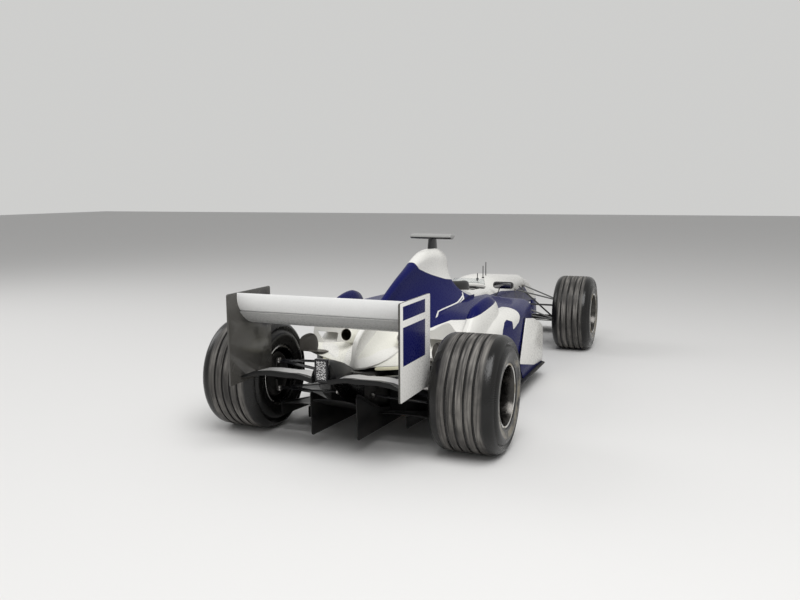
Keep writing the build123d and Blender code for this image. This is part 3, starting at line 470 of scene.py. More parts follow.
def wing_plane(name, half_span, y_front, z_front, pitch, chord, thickness, camber):
    """Wing plane across the car, hollow side up; pitch lifts its trailing edge."""
    points = 14
    under = []
    over = []
    for number in range(points + 1):
        share = 0.5 - 0.5 * math.cos(math.pi * number / points)
        sag = -4 * camber * share * (1 - share)
        body = thickness * 0.5 * (1.48 * math.sqrt(share) * (1 - share) ** 0.7 + 0.08)
        under.append((share * chord, sag - body))
        over.append((share * chord, sag + body))
    turn = math.radians(pitch)
    outline = []
    for along, rise in under + over[::-1][:-1]:
        y = y_front + along * math.cos(turn) - rise * math.sin(turn)
        outline.append((y, z_front + along * math.sin(turn) + rise * math.cos(turn)))
    return plate(name, outline, -half_span, 2 * half_span, 0)


def facing_up(home):
    """How far a face looks up, from -1 to 1."""
    normal = node_by(home, "NewGeometry", {}).outputs["Normal"]
    return node_by(home, "SeparateXYZ", {"Vector": normal}).outputs[2]


def under_bare(shader):
    """Mask of the faces that look down."""
    return maths("LESS_THAN", facing_up(shader), -0.25)


front_wing = join("front_wing_planes", [
    wing_plane("front_main", wing_half, nose_tip_y + 0.03, 0.106, 4, 0.250, 0.020, 0.012),
    wing_plane("front_flap", wing_half, nose_tip_y + 0.275, 0.130, 24, 0.190, 0.014, 0.010)])
soften(front_wing, 0)
front_wing.data.materials.append(paint("front_wing_paint", white, (0.015, 0.015, 0.016), under_bare))
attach(front_wing, "chassis")
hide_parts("front_wing")
ends = []
for side in sides:
    ends.append(plate("front_end", end_line, side * 0.695 - 0.005, 0.010, 0.003))
    foot_x = side * 0.66
    foot_low = (foot_x - 0.04, nose_tip_y + 0.04, 0.060)
    ends.append(block("front_foot", foot_low, (foot_x + 0.04, nose_tip_y + 0.62, 0.066), 0.002))
front_ends = join("front_end_plates", ends)
front_ends.data.materials.append(paint("front_end_paint", white))
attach(front_ends, "chassis")
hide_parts("front_endplates")

# Engine cover
# One tall shell over the engine, from the air inlet above the driver's head down a thin spine to the tail.
# Moulded carbon fibre: a white cap at the top, deep navy flanks, and white again behind.
cover_table = (   # ahead of the rear axle, half base, shoulder height, half top, top height, hollow
    (1.450, 0.259, 0.680, 0.060, 0.745, 0.16),
    (1.345, 0.259, 0.685, 0.075, 0.775, 0.16),
    (1.322, 0.259, 0.688, 0.090, 1.010, 0.16),
    (1.250, 0.259, 0.680, 0.084, 1.027, 0.16),
    (1.120, 0.257, 0.665, 0.062, 1.026, 0.16),
    (0.670, 0.225, 0.590, 0.030, 0.902, 0.16),
    (0.300, 0.170, 0.508, 0.022, 0.755, 0.22),
    (0.150, 0.150, 0.474, 0.020, 0.697, 0.26),
    (0.030, 0.115, 0.446, 0.018, 0.640, 0.28),
    (-0.050, 0.075, 0.437, 0.016, 0.585, 0.25),
    (-0.085, 0.045, 0.434, 0.013, 0.505, 0.15),
    (-0.097, 0.022, 0.433, 0.010, 0.450, 0.10),
)
cover_low = 0.440
inlet_z = 0.898
cap_line = from_axle((
    (1.45, 0.780), (1.222, 0.811), (1.059, 0.854), (0.978, 0.878), (0.873, 0.913), (0.839, 0.942),
    (0.780, 1.10), (-0.2, 1.10)))
pin_stripes = (
    ((1.30, 0.712), (1.255, 0.696), (1.089, 0.668), (0.897, 0.650), (0.822, 0.641), (0.70, 0.600),
     (0.60, 0.560)),
    ((1.25, 0.694), (1.208, 0.681), (1.05, 0.654), (0.90, 0.632)),
)


def cover_sections():
    """Sections with a hollow flank between the shoulder and the rounded spine."""
    sections = []
    for ahead, half_base, z_shoulder, half_top, z_top, hollow in eased(cover_table, 7):
        low = min(cover_low, z_shoulder - 0.014)
        spring = (half_top, max(z_top - half_top, z_shoulder + 0.004))
        run_x = spring[0] - half_base
        run_z = spring[1] - z_shoulder
        outline = [(half_base - 0.01, low), (half_base, low + 0.01)]
        for number in range(13):
            share = number / 12
            sag = 4 * hollow * share * (1 - share)
            outline.append((half_base + share * run_x - sag * run_z, z_shoulder + share * run_z + sag * run_x))
        outline += quarter(spring, (spring[0] * 0.15, z_top), 6)[1:]
        sections.append((rear_axle_y - ahead, both_halves(outline)))
    return sections


def oval(name, half_width, half_height, ahead_from, ahead_to):
    """Oval drum along the car, as wide and high as the inlet."""
    piece = added(
        name, bpy.ops.mesh.primitive_cylinder_add, vertices=48, radius=1, depth=ahead_to - ahead_from,
        location=(0, rear_axle_y - (ahead_from + ahead_to) / 2, inlet_z), rotation=(math.pi / 2, 0, 0))
    piece.scale = (half_width, half_height, 1)
    bpy.ops.object.transform_apply(location=True, rotation=True, scale=True)
    return piece


def pipe_ends(side):
    """Where one tailpipe starts and ends."""
    start = Vector((side * 0.165, rear_axle_y - 0.470, 0.500))
    return start, Vector((side * 0.190, rear_axle_y - 0.215, 0.560))


def pipe_hole(side):
    """Round borer that cuts the hole for one tailpipe."""
    start, end = pipe_ends(side)
    run = end - start
    turn = run.to_track_quat("Z", "Y").to_matrix().to_4x4()
    borer = added(
        "borer", bpy.ops.mesh.primitive_cylinder_add, vertices=32, radius=0.0375, depth=run.length + 0.1)
    borer.matrix_world = Matrix.Translation((start + end) / 2) @ turn
    return borer


def cover_white(shader):
    """Mask of the white cap, the white tail and the pin stripes."""
    x, y, z = coordinates(shader)
    tail = maths("GREATER_THAN", maths("SUBTRACT", y, maths("MULTIPLY", z, 1.1)), rear_axle_y - 1.16)
    mask = maths("MAXIMUM", beyond(y, z, cap_line), tail)
    for line in pin_stripes:
        points = from_axle(line)
        lower = [(place, height - 0.005) for place, height in points]
        stripe = maths("SUBTRACT", beyond(y, z, lower), beyond(y, z, points))
        inside = maths("MULTIPLY", maths("LESS_THAN", y, points[-1][0]), maths("GREATER_THAN", y, points[0][0]))
        mask = maths("MAXIMUM", mask, maths("MULTIPLY", stripe, inside))
    return mask


def carbon(name, gloss=0.12, tint=(0.008, 0.008, 0.009)):
    """Lacquered carbon cloth: a 2 mm twill of two blacks under clear gloss."""
    material, shader = surface(name, coat=0.25)
    place = node_by(shader, "TexCoord", {}).outputs["Object"]
    weave = node_by(shader, "TexChecker", {"Scale": 400, "Vector": place}).outputs["Fac"]
    feed(shader, {
        "Specular IOR Level": 0.3,
        "Base Color": blended(weave, tint, tuple(channel * 1.9 for channel in tint)),
        "Roughness": ranged(noisy(shader, 14.0), 0.3, 0.7, gloss, gloss + 0.16),
    })
    bumped(shader, weave, 0.02, 0.0003)
    return material


black_lacquer = carbon("black_lacquer")
cover = wrap("cover", cover_sections())
cut(cover, oval("trunk", 0.084, 0.098, 1.29, 1.350), "UNION")
cut(cover, oval("throat", 0.074, 0.088, 1.165, 1.40))
for side in sides:
    cut(cover, pipe_hole(side))
soften(cover, 0.002)
cover.data.materials.append(paint("cover_paint", navy, white, cover_white))
cover.data.materials.append(black_lacquer)
# The inlet's inward faces take the black lacquer: painted shade inside the opening.
for face in cover.data.polygons:
    place = face.center
    in_throat = math.hypot(place.x / 0.0755, (place.z - inlet_z) / 0.0895) < 1
    inward = face.normal.x * place.x < 0.001
    face.material_index = 1 if in_throat and inward and place.y < rear_axle_y - 1.150 else 0
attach(cover, "chassis")
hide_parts("engine_cover")

# Camera pod
# The cross shaped camera housing on the roll hoop, a grey lacquered arm on a short black bladed stem.
pod_y = rear_axle_y - 1.255


def circle(steps):
    """Cosine and sine at even steps round a circle."""
    turns = [2 * math.pi * number / steps for number in range(steps)]
    return [(math.cos(turn), math.sin(turn)) for turn in turns]


arm_line = [(pod_y + 0.052 * c * (1.0 if c > 0 else 0.9), 1.111 + 0.019 * s) for c, s in circle(24)]
camera_housing = join("camera_housing", [
    plate("pod_arm", arm_line, -0.153, 0.306, 0.004),
    loft("pod_stem", [
        [(width / 2 * s, pod_y + chord / 2 * c, height) for c, s in circle(24)]
        for height, chord, width in ((0.97, 0.19, 0.046), (1.05, 0.16, 0.042), (1.10, 0.13, 0.040))])])
soften(camera_housing, 0)
camera_housing.data.materials.append(black_lacquer)
camera_housing.data.materials.append(paint("pod_arm_paint", (0.34, 0.34, 0.33), base_roughness=0.20))
# The arm's downward faces keep the black lacquer as painted shade under it; the rest of the arm is grey.
for face in camera_housing.data.polygons:
    face.material_index = 1 if face.center.z > 1.0915 and face.normal.z > -0.2 else 0
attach(camera_housing, "chassis")
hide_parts("camera_pod")

# Side pods
# The hollow bodies beside the driver that duct air to the radiators, with a raised fairing on each. Moulded
# carbon fibre: navy shoulders and front, white flanks and tail that end in a hooked white sweep.
pod_table = (                    # ahead, inner x, bottom x, widest x, side from, side to, top x, top z, inner z
    (1.780, 0.255, 0.470, 0.615, 0.330, 0.540, 0.530, 0.616, 0.640),
    (1.300, 0.255, 0.520, 0.655, 0.380, 0.545, 0.540, 0.624, 0.665),
    (0.900, 0.250, 0.500, 0.610, 0.330, 0.500, 0.500, 0.618, 0.655),
    (0.620, 0.220, 0.420, 0.545, 0.290, 0.450, 0.450, 0.560, 0.600),
    (0.350, 0.170, 0.330, 0.470, 0.240, 0.410, 0.400, 0.478, 0.500),
    (0.120, 0.140, 0.190, 0.250, 0.180, 0.360, 0.210, 0.436, 0.440),
)
fairing_table = (                # ahead, inner x, outer x, top z
    (1.150, 0.490, 0.505, 0.600), (1.100, 0.462, 0.538, 0.672), (1.050, 0.445, 0.560, 0.712),
    (0.930, 0.430, 0.570, 0.738), (0.700, 0.430, 0.555, 0.712), (0.600, 0.440, 0.535, 0.640),
    (0.540, 0.450, 0.500, 0.560),
)
pod_floor = 0.111
hands = ((1, "left"), (-1, "right"))
white_outboard = from_axle((
    (1.30, 0.52), (1.00, 0.50), (0.80, 0.46), (0.72, 0.32), (0.56, 0.24), (0.50, 0.0), (0.0, 0.0)))
white_top = from_axle(((1.78, 0.10), (1.275, 0.10), (1.268, 0.600), (1.262, 0.618), (1.20, 0.80), (0.0, 0.80)))
white_hook = from_axle((
    (1.78, 0.60), (1.270, 0.600), (1.253, 0.568), (1.216, 0.531), (1.115, 0.497), (1.100, 0.500),
    (1.096, 0.552), (1.025, 0.574), (0.975, 0.560), (0.930, 0.520), (0.870, 0.30), (0.0, 0.0)))


def pod_shell(side):
    """One side pod before it is cut."""
    sections = []
    for ahead, x_in, x_bottom, x_out, z_from, z_to, x_top, z_top, z_in in eased(pod_table, 8):
        outline = [(x_in, pod_floor), (x_bottom, pod_floor)]
        outline += quarter((x_out, z_from), (x_bottom, pod_floor), 9)[-2:0:-1]
        outline += quarter((x_out, z_to), (x_top, z_top), 10)
        for share in (number / 6 for number in range(1, 7)):
            outline.append((x_top + (x_in - x_top) * share, z_top + (z_in - z_top) * share ** 2))
        sections.append((rear_axle_y - ahead, [(side * x, z) for x, z in outline]))
    body = wrap("pod", sections)
    sections = []
    for ahead, x_in, x_out, z_top in eased(fairing_table, 5):
        middle = (x_in + x_out) / 2
        outline = [(x_out + 0.004, 0.50)] + quarter((x_out, 0.54), (middle, z_top), 9)
        outline += quarter((x_in, 0.54), (middle, z_top), 9)[-2::-1] + [(x_in - 0.004, 0.50)]
        sections.append((rear_axle_y - ahead, [(side * x, z) for x, z in outline]))
    cut(body, wrap("fairing", sections), "UNION")
    return body


def duct(side, grow=0.0):
    """Air duct of one pod, its floor rising to the back."""
    sections = []
    low_x, high_x, high_z = 0.277 - grow, 0.593 + grow, 0.540 + grow
    for ahead, low in ((1.80, 0.352 - grow), (1.05, 0.405 - grow)):
        corners = [(side * low_x, low), (side * high_x, low), (side * high_x, high_z), (side * low_x, high_z)]
        sections.append((rear_axle_y - ahead, rounded(corners, 0.06)))
    return wrap("duct", sections)


def pod_white(shader):
    """Mask of the white flank and tail with its hooked front end."""
    x, y, z = coordinates(shader)
    x = maths("ABSOLUTE", x, 0.0)
    shoulder = maths(
        "ADD", maths("MULTIPLY", x, 0.25), maths("MULTIPLY", y, -0.1032), 0.456 + 0.1032 * rear_axle_y)
    return maths(
        "MULTIPLY", maths("LESS_THAN", z, shoulder), beyond(y, x, white_outboard),
        maths("SUBTRACT", 1.0, beyond(y, z, white_top)), beyond(y, z, white_hook))


def pod_tail_shade(shader):
    """Mask of the tail's lower part, painted black as the shade under the deck."""
    x, y, z = coordinates(shader)
    return maths("MULTIPLY", maths("GREATER_THAN", y, rear_axle_y - 0.42), maths("LESS_THAN", z, 0.405))


# The pods' tail below the deck is painted black as shade.
pod_paint = paint("pod_paint", navy, white, pod_white, bare=pod_tail_shade)
for side, hand in hands:
    pod = pod_shell(side)
    pod.name = "pod_" + hand
    cut(pod, duct(side))
    cut(pod, pipe_hole(side))
    soften(pod, 0.003)
    pod.data.materials.append(pod_paint)
    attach(pod, "chassis")
    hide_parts("sidepod_" + hand)

# Wheels
# Forged magnesium rims of 13 inches with a deep outer dish, ten thin spokes, and one central nut. The lip's
# paint is dusty and flaked. On them sit grooved racing tyres: a worn, tan-grey tread with four grooves, black
# glossy shoulders with faint ribs from the mould, and a bead on the slanted flange. Each turns with its rim.
front_axle_y = rear_axle_y - 3.1
tyre_radius = 0.330
wheel_places = {                 # x of the wheel's middle, y of its axle, half widths of the tyre and the rim
    "front_left": (0.7225, front_axle_y, 0.1665, 0.161),
    "front_right": (-0.7225, front_axle_y, 0.1665, 0.161),
    "rear_left": (0.710, rear_axle_y, 0.190, 0.175),
    "rear_right": (-0.710, rear_axle_y, 0.190, 0.175),
}
groove_places = (-0.075, -0.025, 0.025, 0.075)
groove_half, groove_root, groove_depth = 0.007, 0.005, 0.006
hub_profile = (
    (0.046, 0.020), (0.046, 0.050), (0.051, 0.055), (0.062, 0.054), (0.068, 0.047), (0.068, 0.036),
    (0.098, 0.032), (0.104, 0.026), (0.104, 0.016), (0.086, 0.014), (0.086, 0.020))
nut_profile = ((0.060, 0.001), (0.060, 0.021), (0.090, 0.019), (0.096, 0.014), (0.096, 0.001))
hoop_profile = ((0.038, 0.138), (0.038, 0.1545), (0.057, 0.1545), (0.060, 0.150), (0.052, 0.138))


def lathe(name, profile, centre=(0, 0, 0), outward=1, steps=96):
    """Ring round an axle: a circle primitive laid on the profile, given as x and radius, and spun."""
    piece = laid(added(name, bpy.ops.mesh.primitive_circle_add, vertices=len(profile)), [
        (centre[0] + outward * x, centre[1], centre[2] + radius) for x, radius in profile])
    spin = {"steps": steps, "angle": 2 * math.pi, "center": centre, "axis": (1, 0, 0)}
    return edited(piece, (bpy.ops.mesh.spin, spin), (bpy.ops.mesh.remove_doubles, {"threshold": weld}))


def wheel_space(shader, centre):
    """Distance from the axle, place across the tyre, turn round it, and a mask of its outer side."""
    place = node_by(shader, "TexCoord", {}).outputs["Object"]
    shift = node_by(shader, "VectorMath", {0: place, 1: centre}, operation="SUBTRACT").outputs["Vector"]
    across, y, z = node_by(shader, "SeparateXYZ", {"Vector": shift}).outputs
    spread = node_by(shader, "VectorMath", {0: shift, 1: (0, 1, 1)}, operation="MULTIPLY").outputs["Vector"]
    radius = node_by(shader, "VectorMath", {0: spread}, operation="LENGTH").outputs["Value"]
    outer = maths("GREATER_THAN", maths("MULTIPLY", across, math.copysign(1, centre[0])), 0.0)
    return radius, across, maths("ARCTAN2", y, z), outer


def rubber(name, centre, half):
    """Tyre rubber: worn tread, black shoulders, and side walls with faint moulded ribs, dusty outside."""
    material, shader = surface(name)
    radius, across, turn, outer = wheel_space(shader, centre)
    side = maths("ABSOLUTE", across, 0.0)
    # Partly real, partly painted shade: the grooves' walls and floors keep the black of unworn rubber, darker
    # than the worn tread, as shade in a deep groove.
    tread = maths("MULTIPLY", ranged(radius, 0.3262, 0.3280), ranged(side, half * 0.66, half * 0.56))
    blotches = noisy(shader, 6.0, detail=5.0)
    streaks = ranged(noisy(shader, 3.0, (34, 2, 2), 6.0), 0.35, 0.68)
    worn = blended(streaks, (0.034, 0.032, 0.030), (0.230, 0.217, 0.200))
    worn = blended(ranged(blotches, 0.42, 0.62, 0.0, 0.7), worn, (0.036, 0.034, 0.032))
    black = blended(blotches, (0.004, 0.004, 0.004), (0.010, 0.0095, 0.009))
    dust = ranged(noisy(shader, 8.0, (0.2, 1, 1), 6.0), 0.42, 0.54, 0.0, 0.8)
    ring = maths("MULTIPLY", ranged(radius, 0.196, 0.202), ranged(radius, 0.236, 0.230), dust, outer)
    black = blended(ring, black, (0.215, 0.190, 0.140))
    rough = maths("ADD", ranged(blotches, 0.3, 0.7, 0.16, 0.34), maths("MULTIPLY", tread, 0.42))
    feed(shader, {"Specular IOR Level": 0.35, "Base Color": blended(tread, black, worn), "Roughness": rough})
    ribs = maths("SINE", maths("MULTIPLY", turn, 150.0), 0.0)
    ribs = maths("MULTIPLY", ribs, ranged(side, half * 0.80, half * 0.92), 0.25)
    bumped(shader, maths("ADD", ribs, noisy(shader, 70.0, (2, 1, 1), 6.0)), 0.5, 0.0016)
    return material


def rim_metal(name, centre):
    """Dark coated magnesium, bare and bright at the lip, with beige dust caught on it."""
    material, shader = surface(name, metallic=1.0)
    radius, across, turn, outer = wheel_space(shader, centre)
    lip = ranged(radius, 0.1665, 0.1675)
    patches = maths("MULTIPLY", outer, ranged(noisy(shader, 9.0, detail=6.0), 0.50, 0.58))
    coated = blended(noisy(shader, 30.0), (0.030, 0.030, 0.030), (0.110, 0.104, 0.096))
    bright = blended(patches, (0.58, 0.57, 0.55), (0.42, 0.38, 0.31))
    rough = maths(
        "ADD", maths("MULTIPLY", patches, lip, 0.4), ranged(noisy(shader, 50.0), 0.3, 0.7, 0.16, 0.30))
    feed(shader, {"Base Color": blended(lip, coated, bright), "Roughness": rough})
    bumped(shader, noisy(shader, 120.0), 0.12, 0.0008)
    return material


def tyre_profile(half, rim_half):
    """From bead to bead: side wall, shoulder and the grooved tread."""
    left = [(0.0112 - rim_half, 0.1675), (-half * 0.955, 0.186)]
    for number in range(7):
        turn = math.radians(-25 + 80 * number / 6)
        left.append((-half + 0.052 - 0.052 * math.cos(turn), 0.238 + 0.045 * math.sin(turn)))
    for number in range(1, 8):
        turn = math.radians(12 + 68 * number / 7)
        left.append((-half + 0.062 - 0.056 * math.cos(turn), tyre_radius - 0.0545 + 0.053 * math.sin(turn)))
    edge = ((groove_half + 0.0015, 0), (groove_half, 0.0006), (groove_root, groove_depth))
    tread = []
    for place in groove_places:
        crown = tyre_radius - 0.045 * place ** 2
        tread += [(place - out, crown - down) for out, down in edge]
        tread += [(place + out, crown - down) for out, down in edge[::-1]]
    return left + tread + [(-x, radius) for x, radius in reversed(left)]


for place_name, (wheel_x, axle_y, tyre_half, rim_half) in wheel_places.items():
    outward = 1 if wheel_x > 0 else -1
    centre = (wheel_x, axle_y, tyre_radius)
    tyre = lathe("grooved_tyre_" + place_name, tyre_profile(tyre_half, rim_half), centre, outward, 128)
    soften(tyre, 0, 28)
    tyre.data.materials.append(rubber("rubber_" + place_name, centre, tyre_half))
    body = "wheel_" + place_name
    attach(tyre, body)
    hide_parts("tyre_" + place_name)

    flange = rim_half - 0.011
    lip = [(rim_half + 0.002, 0.1755), (rim_half - 0.001, 0.1788), (rim_half - 0.004, 0.1775), (flange, 0.1662),
           (flange - 0.05, 0.1640)]
    barrel = [(-rim_half, 0.160)] + [(-x, radius) for x, radius in lip] + [(-0.03, 0.1555)] + lip[::-1] + [
        (rim_half, 0.167), (rim_half - 0.014, 0.1610), (rim_half - 0.060, 0.1590), (0.050, 0.1500),
        (-0.03, 0.1500), (-flange + 0.02, 0.1590)]
    rim_pieces = [
        lathe("rim", barrel, centre, outward, 96),
        lathe("hub", hub_profile, centre, outward, 48),
        lathe("nut", nut_profile, centre, outward, 6),
        lathe("hoop", hoop_profile, centre, outward)]
    for number in range(10):
        spoke = block("spoke", (0.046, -0.0085, 0.046), (0.060, 0.0085, 0.146), 0.003)
        edited(spoke, (bpy.ops.mesh.subdivide, {"number_cuts": 2}), outward=False)
        for vertex in spoke.data.vertices:
            share = (vertex.co.z - 0.046) / 0.1
            vertex.co.x += 0.012 * (1 - share) ** 2 - 0.004 * share
            vertex.co.y *= 1.15 - 0.75 * share * (1 - share) * 2
            vertex.co.x *= outward
        spoke.data.transform(Matrix.Translation(centre) @ Matrix.Rotation(2 * math.pi * number / 10, 4, "X"))
        if outward < 0:
            edited(spoke)
        rim_pieces.append(spoke)
    rim = join("spoked_rim_" + place_name, rim_pieces)
    soften(rim, 0, 40)
    rim.data.materials.append(rim_metal("rim_metal_" + place_name, centre))
    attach(rim, body)
    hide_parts("rim_" + place_name)

# Radiators
# One aluminium core across each side duct: thin upright fins between flat water tubes, in a black frame.


def grained(name, metallic, first, second, grain, rough, relief=None):
    """Metal of two tones in a fine grain, with a range of roughness and perhaps a relief."""
    material, shader = surface(name, metallic)
    tone = blended(noisy(shader, *grain), first, second)
    feed(shader, {"Base Color": tone, "Roughness": ranged(noisy(shader, rough[0]), 0.3, 0.7, *rough[1:])})
    if relief:
        bumped(shader, noisy(shader, *relief[0]), *relief[1:])
    return material


cores = []
for side in sides:
    core = duct(side, -0.0015)
    cut(core, block("slab", (-0.7, rear_axle_y - 1.235, 0), (0.7, rear_axle_y - 1.185, 0.7)), "INTERSECT")
    cores.append(core)
    for number in range(56):
        x = side * (0.290 + 0.0052 * number)
        low = (x - 0.0007, rear_axle_y - 1.240, 0.42)
        cores.append(block("fin", low, (x + 0.0007, rear_axle_y - 1.234, 0.528)))
radiators = join("radiator_cores", cores)
soften(radiators, 0)
radiators.data.materials.append(grained(
    "core_metal", 0.9, (0.30, 0.30, 0.30), (0.48, 0.47, 0.46), (40.0,), (90.0, 0.40, 0.60),
    ((200.0, (6, 1, 0.5)), 0.4, 0.001)))
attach(radiators, "chassis")
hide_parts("radiators")

# Engine
# One plain cast block that carries the gearbox, closed in by the body. The solid itself shows in the ducts.
engine_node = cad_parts["engine_block"]
engine_node.data.materials.clear()
engine_node.data.materials.append(grained(
    "cast_engine", 0.7, (0.22, 0.21, 0.20), (0.34, 0.33, 0.32), (30.0,), (80.0, 0.45, 0.62),
    ((250.0,), 0.3, 0.001)))
engine_edges = engine_node.modifiers.new("edges", "BEVEL")
engine_edges.width = 0.006
engine_edges.segments = 3

# Rear bodywork
# The flip-ups ahead of the rear wheels: a curled white leaf on an upright plate with an open window, moulded
# in one with the rear deck and bonded to the pods.
leaf_line = (
    (0.228, 0.470), (0.240, 0.500), (0.257, 0.563), (0.262, 0.580), (0.290, 0.585), (0.325, 0.592),
    (0.360, 0.615), (0.392, 0.636), (0.415, 0.646), (0.430, 0.649), (0.442, 0.645), (0.455, 0.628),
    (0.468, 0.606), (0.476, 0.590), (0.482, 0.560), (0.487, 0.530), (0.484, 0.505), (0.470, 0.482),
    (0.440, 0.464))
leaf_window = rounded([(0.320, 0.480), (0.308, 0.545), (0.460, 0.545), (0.410, 0.480)], 0.012)
leaf_ramp = (                    # x, z at the front and at the back
    (0.262, 0.545, 0.580), (0.290, 0.540, 0.585), (0.325, 0.533, 0.592), (0.360, 0.525, 0.615),
    (0.392, 0.520, 0.636), (0.430, 0.513, 0.649), (0.455, 0.508, 0.628), (0.476, 0.503, 0.590))
leaf_y = rear_axle_y - 0.347


def sheet(name, rows, thickness):
    """Thin moulding: a grid over rows of points, smoothed, and thickened."""
    piece = grid(name, rows)
    modified(piece, "SUBSURF", levels=2, render_levels=2)
    edited(piece)
    modified(piece, "SOLIDIFY", thickness=thickness, offset=-1)
    return soften(piece, 0)


winglet_pieces = []
for side in sides:
    leaf = flat("leaf_plate", [(side * x, leaf_y, z) for x, z in leaf_line], (0, 0.006, 0))
    cut(leaf, flat("hole", [(side * x, leaf_y - 0.02, z) for x, z in leaf_window], (0, 0.046, 0)))
    rows = []
    for share in (number / 6 for number in range(7)):
        y = rear_axle_y - 0.585 + 0.240 * share
        rows.append([(side * x, y, front + (back - front) * share ** 1.6) for x, front, back in leaf_ramp])
    winglet_pieces += [leaf, sheet("leaf", rows, 0.004)]
winglets = join("flip_ups", winglet_pieces)
soften(winglets, 0)
winglets.data.materials.append(paint("flip_up_paint", (0.78, 0.77, 0.73)))
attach(winglets, "chassis")
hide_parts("winglets")

# Tailpipes
# The two exhaust pipes that blow out over the deck: thin welded tubes of heat resistant steel, browned.
pipe_profile = ((0, 0.0355), (0.262, 0.0355), (0.2645, 0.0345), (0.2645, 0.0335), (0.262, 0.0328), (0, 0.0328))


def on_pipe(name, profile, side):
    """Ring turned round one tailpipe's line."""
    start, end = pipe_ends(side)
    piece = lathe(name, profile, steps=48)
    turn = (end - start).normalized().to_track_quat("X", "Z").to_matrix().to_4x4()
    piece.data.transform(Matrix.Translation(start) @ turn)
    return piece


tailpipes = join("exhaust_pipes", [on_pipe("pipe", pipe_profile, side) for side in sides])
soften(tailpipes, 0, 40)
tailpipes.data.materials.append(grained(
    "heated_steel", 1.0, (0.07, 0.055, 0.045), (0.20, 0.165, 0.13), (18.0, (1, 0.4, 1)), (60.0, 0.30, 0.50)))
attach(tailpipes, "chassis")
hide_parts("tailpipes")

# Gearbox and crash structure
# Cast case that carries the rear suspension, covered in black carbon fibre, and narrowing to the tapered box
# that holds the rain light. Three ribs run round it, and the driveshafts come out at its sides.
gearbox_table = (
    (0.850, 0.130, 0.111, 0.170, 0.150, 0.380, 0.130, 0.420),
    (0.350, 0.095, 0.130, 0.130, 0.165, 0.380, 0.095, 0.415),
    (0.000, 0.078, 0.200, 0.108, 0.230, 0.370, 0.078, 0.400),
    (-0.160, 0.045, 0.290, 0.070, 0.315, 0.405, 0.045, 0.430),
    (-0.330, 0.028, 0.400, 0.046, 0.418, 0.472, 0.028, 0.490),
    (-0.455, 0.025, 0.425, 0.040, 0.440, 0.485, 0.025, 0.500),
)
shaft_bore = 0.0252


def cylinder(name, radius, centre, depth, axis="Z", vertices=24):
    """Cylinder primitive along one axis."""
    turn = {"X": (0, math.pi / 2, 0), "Y": (math.pi / 2, 0, 0), "Z": (0, 0, 0)}[axis]
    return added(
        name, bpy.ops.mesh.primitive_cylinder_add, vertices=vertices, radius=radius, depth=depth,
        location=centre, rotation=turn)


case = wrap("case", tub_sections(gearbox_table, steps=5))
for side in sides:
    cut(case, cylinder("bore", shaft_bore, (side * 0.185, rear_axle_y, tyre_radius), 0.25, "X", 48))
case_pieces = [case]
for ahead in (0.66, 0.46, 0.24):
    rows = [row for row in eased(gearbox_table, 60) if abs(row[0] - ahead) < 0.013]
    case_pieces.append(wrap("band", tub_sections(rows, -0.004, 1)))
case = join("gearbox", case_pieces)
soften(case, 0)
cast, shader = surface("cast_case", metallic=0.6)
x, y, z = coordinates(shader)
rear_black = ranged(y, rear_axle_y + 0.11, rear_axle_y + 0.115)
tone = blended(noisy(shader, 35.0), (0.030, 0.029, 0.028), (0.075, 0.072, 0.068))
rough = ranged(noisy(shader, 90.0), 0.3, 0.7, 0.42, 0.60)
feed(shader, {
    "Base Color": blended(rear_black, tone, (0.012, 0.012, 0.012)),
    "Roughness": maths("SUBTRACT", rough, maths("MULTIPLY", rear_black, 0.3)),
})
bumped(shader, noisy(shader, 300.0), 0.25, 0.0008)
case.data.materials.append(cast)
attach(case, "chassis")
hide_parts("gearbox_case")

# Rear deck
# The low white moulding behind the engine cover that runs down over the gearbox and out to the wheels, in two
# thin halves, with cowls round the tailpipes and turned lips of yellow-white fibre on its back edge.
deck_front = 0.345
deck_lines = (   # x and z at the front, x, ahead of the rear axle and z at the back, spine outwards
    (0.037, 0.690, 0.012, -0.092, 0.470), (0.066, 0.618, 0.030, -0.076, 0.437),
    (0.112, 0.570, 0.060, -0.045, 0.430), (0.165, 0.532, 0.100, -0.005, 0.427),
    (0.220, 0.503, 0.150, 0.040, 0.425), (0.280, 0.487, 0.220, 0.090, 0.424),
    (0.360, 0.478, 0.320, 0.150, 0.426), (0.440, 0.474, 0.420, 0.205, 0.432),
    (0.505, 0.470, 0.505, 0.262, 0.444))
cowl_profile = (
    (0.0, 0.0365), (0.0, 0.060), (0.14, 0.056), (0.22, 0.049), (0.258, 0.044), (0.266, 0.041),
    (0.268, 0.0385), (0.264, 0.0365))
deck_paint = paint("deck_paint", (0.80, 0.79, 0.72))
for side, hand in hands[::-1]:
    rows = []
    for share in (number / 8 for number in range(9)):
        rows.append([(
            side * (x + (back_x - x) * share),
            rear_axle_y - deck_front - (back_ahead - deck_front) * share,
            z + (back_z - z) * share ** 0.85) for x, z, back_x, back_ahead, back_z in deck_lines])
    deck = sheet("rear_deck_" + hand, rows, 0.004)
    deck.data.materials.append(deck_paint)
    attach(deck, "chassis")
cowls = join("exhaust_cowls", [on_pipe("cowl", cowl_profile, side) for side in sides])
soften(cowls, 0, 50)
cowls.data.materials.append(deck_paint)
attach(cowls, "chassis")
lip_edge = [line[2:] for line in deck_lines if 0.09 < line[2] < 0.33]
lips = join("deck_lips", [sheet("lip", [
    [(side * x, rear_axle_y - ahead + out, z + rise) for x, ahead, z in lip_edge]
    for out, rise in ((-0.004, -0.002), (0.004, -0.010), (0.006, -0.022))], 0.003) for side in sides])
soften(lips, 0, 50)
lips.data.materials.append(paint("aramid_lip", (0.80, 0.77, 0.56)))
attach(lips, "chassis")

